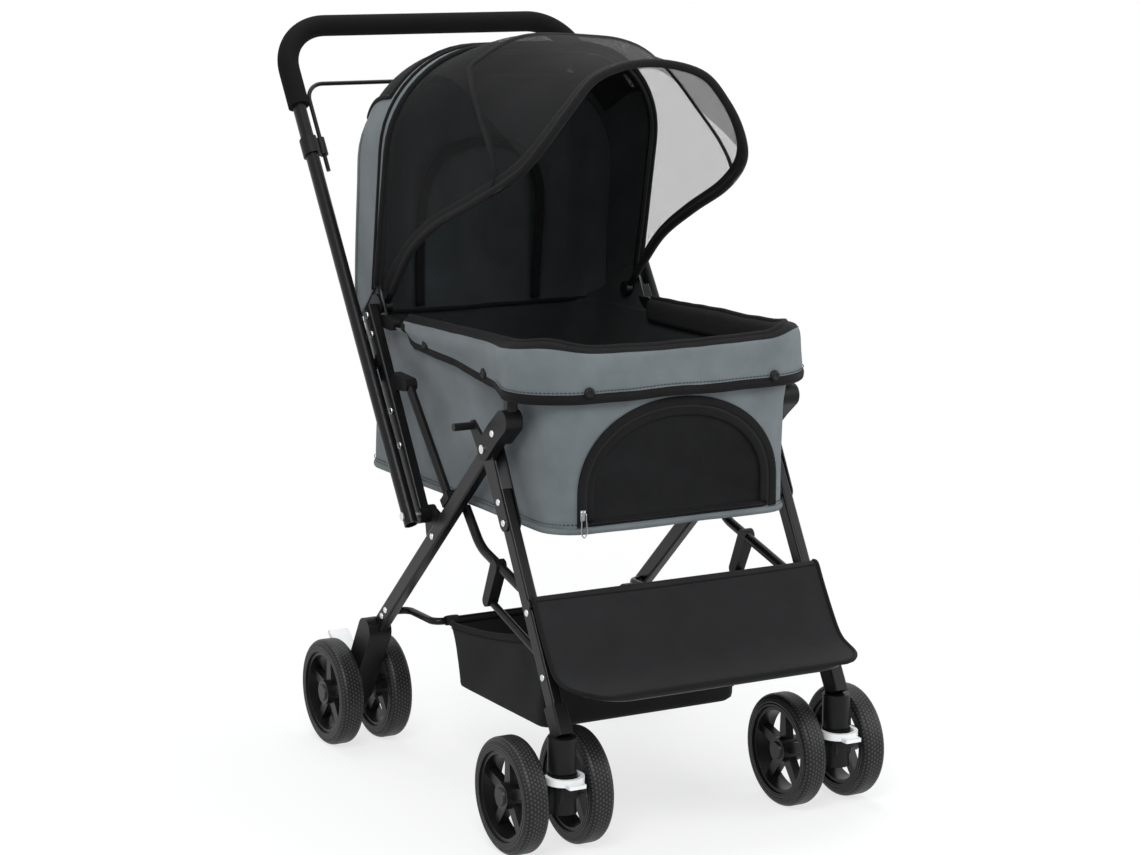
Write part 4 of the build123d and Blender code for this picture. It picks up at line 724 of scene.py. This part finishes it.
def make_band():
    """Band folded over the rim, bound in black along its lower edge, with a dark lip inside."""
    line = rim_line()
    outer_rows = [[] for _ in range(9)]
    inner_rows = [[] for _ in range(5)]
    low_edge, top_edge = [], []
    for number, point in enumerate(line):
        outward = outward_of(line, number)
        over_post = exp(-((point.y + 0.228) / 0.045) ** 2)
        drop = band_drop(point) + 0.0025 * ripple(point, 11.0, 9.0)
        wave = 0.0026 * ripple(point, 16.0, 4.0) + 0.0022 * ripple(point, 34.0, 6.5)
        ahead = ease((-0.205 - point.y) / 0.05)
        reach = 0.0105 + 0.0160 * over_post
        tuck = 0.0020 + 0.0085 * ahead + 0.0200 * over_post
        profile = [(lerp(tuck, reach, ease(k / 4)) + wave * (1 - k / 6),
                    RIM_Z - drop + (drop - 0.004) * k / 4) for k in range(5)]
        corner = exp(-((abs(point.x) - 0.172) / 0.030) ** 2 - ((point.y + 0.270) / 0.045) ** 2)
        sag = ease((-0.270 - point.y) / 0.02) * (1 - (point.x / RIM_HALF) ** 2)
        top = RIM_Z + lerp(0.0118, 0.0165, ease((0.088 - point.y) / 0.25)) + wave * 0.5
        top += 0.0075 * corner - 0.0035 * sag
        profile += [(reach, RIM_Z + 0.003), (reach * 0.88, top - 0.0060), (reach * 0.5, top - 0.0010),
                    (0.0, top)]
        for row, (out, z) in zip(outer_rows, profile):
            row.append(Vector((point.x, point.y, z)) + outward * out)
        inner = [(0.0, top), (-0.0060, top - 0.0015), (-0.0098, top - 0.0080), (-0.0100, RIM_Z - 0.008),
                 (-0.0080, RIM_Z - 0.020)]
        for row, (out, z) in zip(inner_rows, inner):
            row.append(Vector((point.x, point.y, z)) + outward * out)
        low_edge.append(outer_rows[0][-1].copy())
        top_edge.append(Vector((point.x, point.y, top - 0.0012)))
    band = sheet_piece("cabin_band", outer_rows, [GREY, BINDING], thickness=THIN_CLOTH,
                       choose=lambda i, j: 1 if i > 5 else 0)
    dress(band, "chassis")
    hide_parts("cabin_rim")
    lip = sheet_piece("cabin_lip", inner_rows, [BLACK], thickness=THIN_CLOTH)
    dress(lip, "chassis")
    ends = [[row[place] for row in outer_rows[1:6]] for place in (0, -1)]
    border = list(reversed(ends[0])) + low_edge + ends[1]
    for name, edge, radius in (("band_binding", border, 0.0066), ("lip_binding", top_edge, 0.0052)):
        trim = tube_piece(name, edge, radius, BINDING, flat=0.34 if name == "band_binding" else 0.8,
                          side_way=lambda spot: Vector((spot.x, spot.y * 0.6, 0)))
        dress(trim, "chassis")
    thread = [point + Vector((0, 0, STITCH_RISE)) + outward_of(line, number) * 0.0016
              for number, point in enumerate(low_edge)]
    stitch_piece("band_stitch", thread, "chassis", PAINTED_SHADE_LINING_AND_THREAD)
    stud_spots = [(sign * 0.192, y) for sign in (1, -1) for y in (0.028, -0.140)]
    stud_spots += [(sign * 0.139, -0.300) for sign in (1, -1)]
    for number, (x, y) in enumerate(stud_spots):
        nearest = min(range(len(line)), key=lambda k: (line[k].x - x) ** 2 + (line[k].y - y) ** 2)
        outward = outward_of(line, nearest)
        seat = low_edge[nearest] + Vector((0, 0, 0.008)) + outward * 0.0015
        stud = stud_piece(f"band_stud_{number}", seat, outward, 0.0072, 0.0046, PLASTIC)
        dress(stud, "chassis")


# Canopy
def polar(x, radius, angle):
    turn = radians(angle)
    return Vector((x, HOOD_Y + radius * cos(turn), HOOD_Z + radius * sin(turn)))


def arch(half, apex, bend, start):
    """A bow's outline as (x, distance from the hinge), from the left foot over the top to the right."""
    left = [(half, lerp(start, apex - bend, k / 12)) for k in range(12)]
    left += [(half - bend + bend * cos(turn), apex - bend + bend * sin(turn))
             for turn in [pi / 2 * k / 12 for k in range(12)]]
    left += [(lerp(half - bend, 0, k / 7), apex) for k in range(7)]
    return left + [(0, apex)] + [(-x, r) for x, r in reversed(left)]


MAIN_ARCH = arch(0.2085, 0.3575, 0.1395, 0.030)


def wall_place(x, z):
    """The canopy's rear wall, which turns forward round its edges."""
    level = lerp(0.262, 0.2395, ease((z - 0.62) / 0.32))
    past_x, past_z = max(0.0, abs(x) - WALL_HALF + WALL_BEND), max(0.0, z - WALL_TOP + WALL_BEND)
    room = min(WALL_HALF - abs(x), WALL_BEND - hypot(past_x, past_z))
    turn = min(1.0, max(0.0, 1 - room / 0.030))
    return level - lerp(0.026, 0.011, ease((z - 0.80) / 0.10)) * (1 - sqrt(1 - turn * turn))


def rear_edge():
    """Where the canopy's top and sides meet its upright rear wall."""
    outline = arch(WALL_HALF, WALL_TOP - WALL_LOW, WALL_BEND, 0.0)
    return [Vector((x, wall_place(x, WALL_LOW + rise), WALL_LOW + rise)) for x, rise in outline]


def hood_slack(point, amount, seed):
    """Soft push in and out from the hinge line."""
    away = Vector((point.x * 0.8, point.y - HOOD_Y, point.z - HOOD_Z)).normalized()
    return point + away * (amount * ripple(point, 9.0, seed))


def make_canopy_rear():
    """Grey rear half: sides and top with a mesh window, and a pleated rear wall."""
    front = [polar(x, r, MAIN_ANGLE - 0.8) for x, r in MAIN_ARCH]
    rear = rear_edge()
    rows = []
    for k in range(19):
        share = k / 18
        row = []
        for a, b in zip(front, rear):
            point = a.lerp(b, share)
            swell = sin(pi * share)
            away = Vector((point.x * 0.6, point.y - HOOD_Y, point.z - HOOD_Z)).normalized()
            lift = 0.020 * swell * ease((point.z - 0.68) / 0.22)
            point = point + away * lift
            row.append(hood_slack(point, 0.004 * swell, 2.0))
        rows.append(row)

    first, last, side = 4, 16, 16
    other = len(front) - 1 - side

    def pick(i, j):
        return 2 if first <= i < last and side <= j < other else 0

    # The inner faces of the canopy's rear cloth take the dark lining, which is painted shade.
    top = sheet_piece("canopy_rear_cloth", rows, [PAINTED_SHADE_LINING_AND_THREAD, GREY, WINDOW_NET, WINDOW_NET], choose=pick,
                      thickness=THIN_CLOTH, lined=True)
    wall_rows = []
    for k in range(25):
        share = k / 24
        row = []
        for c in range(49):
            x = WALL_HALF * sin(pi * (0.5 - c / 48))
            past = max(0.0, abs(x) - WALL_HALF + WALL_BEND)
            top_z = WALL_TOP - WALL_BEND + sqrt(max(0.0, WALL_BEND ** 2 - past ** 2))
            z = lerp(WALL_LOW, top_z, share)
            y = wall_place(x, z)
            pleat = 0.0065 * sin(x * 74 + 0.6 * sin(z * 9)) * sin(pi * share) ** 0.6
            y += pleat * ease((0.178 - abs(x)) / 0.05)
            y += 0.003 * ripple((x, y, z), 12.0, 6.0) * ease((0.198 - abs(x)) / 0.02)
            row.append(Vector((x, y, z)))
        wall_rows.append(row)
    # The rear wall's inner face takes the darker grey, which is painted shade.
    wall = sheet_piece("canopy_rear_wall", wall_rows, [GREY, PAINTED_SHADE_INNER_GREY], thickness=THIN_CLOTH, lined=True)
    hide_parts("canopy_rear")
    for piece in (top, wall):
        blend_rear(piece)
    rim = [point + Vector((0.008 * point.x, 0.0016, 0.0016)) for point in rear]
    seam = tube_piece("canopy_rear_seam", rim, 0.0017, GREY)
    blend_rear(seam)
    side_line = [(0.092, 0.612), (0.093, 0.66), (0.094, 0.72), (0.090, 0.78), (0.066, 0.822), (0.030, 0.838)]
    arch_line = side_line + [(0.0, 0.841)] + [(-x, z) for x, z in reversed(side_line)]
    inside = [Vector((x, 0.234 + 0.022 * ease((0.86 - z) / 0.24), z)) for x, z in arch_line]
    tape = tube_piece("canopy_inner_zip", smooth_line(inside, 5), 0.0075, BINDING, flat=0.22,
                      side_way=FORWARD)
    blend_rear(tape)
    frame_line = rows[first][side:other + 1] + [row[other] for row in rows[first + 1:last]]
    frame_line += rows[last][side:other + 1][::-1] + [row[side] for row in rows[first + 1:last][::-1]]
    hem = [point + Vector((0, 0.001, 0.003)) for point in wall_rows[0]]
    zip_line = [point + (point - HOOD_HINGE).normalized() * 0.0014 for point in rows[2]]
    for trim in (tube_piece("window_binding", frame_line, 0.0040, BINDING, closed=True),
                 tube_piece("canopy_zip", zip_line, 0.0026, BINDING),
                 tube_piece("canopy_wall_hem", hem, 0.0034, BINDING)):
        blend_rear(trim)
    for sign, name in ((1, "left"), (-1, "right")):
        make_cheek(name, sign)


def make_cheek(name, sign):
    """Grey gusset that closes the cabin under the canopy's side, by the hinge."""
    rows = []
    for k in range(9):
        row = []
        for c in range(25):
            y = lerp(0.090, 0.256, c / 24)
            height = 0.010 + 0.052 * ease((y - 0.122) / 0.036) * ease((0.275 - y) / 0.110)
            low = 0.1455 + sqrt(max(0.0, 0.046 ** 2 - max(0.0, y - 0.220) ** 2))
            high = lerp(0.2025, 0.1935, ease((y - 0.150) / 0.09)) - 0.020 * ease((y - 0.236) / 0.03)
            x = lerp(low, high, ease(k / 8)) + 0.0012 * ripple((0, y, k), 20.0, 1.0)
            row.append(Vector((sign * x, y, 0.598 + height * k / 8)))
        rows.append(row)
    # The face towards the cabin takes the dark lining, which is painted shade.
    cheek = sheet_piece(f"canopy_cheek_{name}", rows, [GREY, PAINTED_SHADE_LINING_AND_THREAD] if sign > 0 else [PAINTED_SHADE_LINING_AND_THREAD, GREY],
                        thickness=0.0014, lined=True)
    dress(cheek, "chassis")


def blend_rear(piece):
    """Bakes the piece's placement into its mesh."""
    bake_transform(piece)


def blend_front(piece):
    """Bakes the piece's placement into its mesh."""
    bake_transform(piece)


# Left half of the visor's wire from the hinge upward: x, distance from the hinge, angle
FRONT_LINE = [(0.1915, 0.030, 135.0), (0.1931, 0.060, 135.0), (0.1950, 0.127, 136.5),
              (0.1960, 0.2118, 142.8), (0.1860, 0.3139, 147.9), (0.1660, 0.3988, 148.8),
              (0.1450, 0.4440, 146.5), (0.1150, 0.4780, 143.0), (0.0741, 0.5029, 139.4)]


def front_edge():
    """The visor's wire from the left hinge over the front to the right hinge."""
    left = [polar(*place) for place in FRONT_LINE]
    right = [Vector((-point.x, point.y, point.z)) for point in reversed(left)]
    return left + [polar(0, 0.508, 137.7)] + right


def hinge_polar(point):
    """A point's distance from the hinge line, and its angle there."""
    run, rise = point.y - HOOD_Y, point.z - HOOD_Z
    return hypot(run, rise), degrees(atan2(rise, run))


def make_canopy_front():
    """Black mesh visor from the main bow to its bound, wavy front edge."""
    seam = even_line([polar(x, r, MAIN_ANGLE + 0.8) for x, r in MAIN_ARCH], VISOR_COLUMNS)
    edge = even_line(smooth_line(front_edge(), 12), VISOR_COLUMNS)
    rows = []
    for k in range(VISOR_ROWS):
        share = k / (VISOR_ROWS - 1)
        row = []
        for a, b in zip(seam, edge):
            (ra, fa), (rb, fb) = hinge_polar(a), hinge_polar(b)
            swell = sin(pi * share)
            radius = lerp(ra, rb, share) + 0.004 * swell * (ra / 0.35)
            point = polar(lerp(a.x, b.x, share), radius, lerp(fa, fb, share))
            point = point.lerp(a.lerp(b, share), 0.65 * ease((share - 0.1) / 0.6))
            row.append(hood_slack(point, 0.006 * swell, 8.0))
        rows.append(row)
    visor = sheet_piece("canopy_front_net", rows, [NET, TOP_NET], thickness=0.0,
                        choose=lambda i, j: 1 if 23 <= j < 49 else 0)
    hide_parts("canopy_front")
    blend_front(visor)
    sleeve_line = []
    for k in range(VISOR_COLUMNS):
        j = lerp(19.0, 53.0, k / (VISOR_COLUMNS - 1))
        i = lerp(6.0, 19.5, ease((abs(j - 36.0) - 10.5) / 6.5))
        low, side = int(i), int(j)
        sleeve_line.append(rows[low][side].lerp(rows[low][side + 1], j - side).lerp(
            rows[low + 1][side].lerp(rows[low + 1][side + 1], j - side), i - low))
    sleeve = tube_piece("visor_sleeve", sleeve_line, 0.0046, BINDING, flat=0.35,
                        side_way=lambda spot: spot - HOOD_HINGE)
    blend_front(sleeve)
    tape_rows = [[] for _ in range(4)]
    for column in zip(*rows):
        back = list(reversed(column))
        length = run_lengths(back)
        width = min(0.017, length[-1] * 0.45)
        for row, share in zip(tape_rows, (0.0, 0.34, 0.67, 1.0)):
            spot = max(k for k in range(len(back) - 1) if length[k] <= width * share + 1e-9)
            step = (width * share - length[spot]) / max(1e-9, length[spot + 1] - length[spot])
            row.append(back[spot].lerp(back[spot + 1], step))
    tape = sheet_piece("canopy_edge_tape", tape_rows, [BINDING], thickness=0.0030)
    blend_front(tape)
    binding = tube_piece("canopy_binding", smooth_line(front_edge(), 8), 0.0056, BINDING)
    dress(binding, "hood_front")
    bow_line = [polar(x, r + 0.001, MAIN_ANGLE) for x, r in MAIN_ARCH]
    piping = tube_piece("canopy_piping", bow_line, 0.0042, BINDING)
    dress(piping, "hood_main")


# Footrest and basket
def make_footrest():
    """Black cloth from the upper bar down the slope to the rounded front of the tray."""
    profile = [(-0.2922, 0.3185), (-0.2985, 0.3182), (-0.3030, 0.3130), (-0.3100, 0.3000), (-0.3230, 0.2780),
               (-0.3370, 0.2560), (-0.3500, 0.2380), (-0.3620, 0.2285), (-0.3780, 0.2238), (-0.3980, 0.2218),
               (-0.4180, 0.2206), (-0.4285, 0.2180)]
    line = smooth_line([Vector((0, y, z)) for y, z in profile], 3)
    rows = []
    for number, point in enumerate(line):
        share = number / (len(line) - 1)
        half = lerp(0.2115, 0.2125, share)
        if point.y < -0.345:
            cut = min(1.0, (-0.345 - point.y) / 0.0835)
            half -= 0.040 * (1 - sqrt(max(0.0, 1 - cut ** 2.4)))
        row = []
        for c in range(45):
            x = half * (2 * c / 44 - 1)
            belly = sin(pi * c / 44) * sin(pi * min(1.0, share * 1.6))
            loose = 0.0014 * ripple((x, point.y, point.z), 9.0, 11.0)
            sag = 0.0045 * belly + loose * sin(pi * share)
            row.append(point + Vector((x, 0.5 * sag, -sag * 0.9)))
        rows.append(row)
    cloth = sheet_piece("footrest_cloth", rows, [BLACK], thickness=0.0018)
    dress(cloth, "front_frame")
    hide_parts("footrest_fabric")
    border = [row[0] for row in rows] + rows[-1][1:-1] + [row[-1] for row in reversed(rows)]
    trim = tube_piece("footrest_binding", border, 0.0030, BINDING)
    dress(trim, "front_frame")
    fold = [point + Vector((0, -0.0012, 0.0008)) for point in rows[5]]
    stitch = tube_piece("footrest_stitch", fold, 0.0007, BINDING)
    dress(stitch, "front_frame")


def make_basket():
    """Soft black bag whose walls sag between its corners, with loops over the rear tube."""
    rows = []
    front, rear, low = -0.2220, 0.0405, 0.112

    def top_z(y):
        return lerp(0.246, 0.207, (y - front) / (rear - front))

    for share in (0.02, 0.4, 0.8):
        ring = rounded_ring(0.148, front + 0.014, rear, 0.016, low, 20, 24, 5)
        middle = Vector((0, (front + rear) / 2 + 0.007, low))
        dip = Vector((0, 0, 0.003 * (1 - share) - 0.001))
        rows.append([middle + (point - middle) * share - dip for point in ring])
    for k in range(15):
        share = k / 14
        half = lerp(0.148, 0.162, share)
        ring = rounded_ring(half, lerp(front + 0.014, front, share), rear, 0.018, 0.0, 20, 24, 5)
        row = []
        for point in ring:
            height = lerp(low + 0.001 + 0.004 * (1 - share), top_z(point.y), share)
            inward = Vector((-point.x, -(point.y + 0.09), 0)).normalized()
            span = sin(pi * share)
            sag = 0.006 * span * (1 + ripple((point.x, point.y, height), 8.0, 13.0))
            crease = 0.0030 * span * sin(point.y * 46 + point.x * 31 + 5 * share)
            along_side = ease((0.150 - abs(point.y + 0.09)) / 0.06) if abs(point.x) > half - 0.002 else 0.4
            back = min(1.0, max(0.0, (point.y - front) / (rear - front)))
            dip = 0.007 * share ** 3 * sin(pi * back)
            row.append(Vector((point.x, point.y, height - dip)) + inward * ((sag + crease) * along_side))
        rows.append(row)
    basket = sheet_piece("basket_bag", rows, [BLACK], thickness=0.0022)
    rim = [point.copy() for point in rows[-1][:-1]]
    trim = tube_piece("basket_binding", rim, 0.0036, BINDING, closed=True)
    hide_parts("storage_basket")
    pieces = [basket, trim]
    away = Vector((0, (front + rear) / 2, 0))
    for number, place in enumerate((14, 39, 68, 94)):
        seam = [row[place] + (row[place] - away).normalized() * 0.0008 for row in rows[5:]]
        pieces.append(tube_piece(f"basket_seam_{number}", seam, 0.0016, BINDING))
    hem = [point + (Vector((point.x, point.y, 0)) - away).normalized() * 0.002 for point in rows[-2]]
    pieces.append(stitch_piece("basket_stitch", hem, None, BINDING))
    for sign, name in ((1, "left"), (-1, "right")):
        centre = Vector((sign * 0.152, 0.046, 0.208))
        loop = [centre + Vector((0, 0.0062 * cos(turn), 0.0062 * sin(turn)))
                for turn in [radians(a) for a in range(0, 360, 20)]]
        pieces.append(tube_piece(f"basket_loop_{name}", loop, 0.010, BLACK, flat=0.09, closed=True,
                                 side_way=lambda spot, c=centre: (spot - c)))
    for piece in pieces:
        dress(piece, "chassis")
        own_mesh(piece)


# Finishes of the rigid pieces
def paint_solids():
    paints = {"frame_black": FRAME_BLACK, "steel": STEEL, "plastic_black": PLASTIC, "plastic_white": WHITE,
              "foam": FOAM, "board": BOARD, "cloth_grey": GREY, "cloth_black": BLACK, "mesh_black": NET}
    for entry in frame["record"]["subparts"]:
        name = entry["node"]
        if name.startswith("tyre_"):
            low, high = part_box(name)
            material = tyre_finish(name, (low + high) / 2)
        elif name.startswith(("rim_f", "rim_r")):
            material = RIM_BLACK
        else:
            material = paints[entry["material_slot"]]
        shown = nodes[name]
        shown.data.materials.clear()
        shown.data.materials.append(material)


scene.view_settings.view_transform = "Standard"
make_camera()
make_world()
make_floor()
make_light("key", (-1.9, -2.6, 2.9), size=1.8, watts=90)
make_light("fill", (2.6, -1.8, 1.6), size=2.2, watts=42)
make_light("top", (0.2, 0.6, 3.2), size=2.4, watts=55)
paint_solids()
make_cabin()
make_door()
make_band()
make_canopy_rear()
make_canopy_front()
make_footrest()
make_basket()
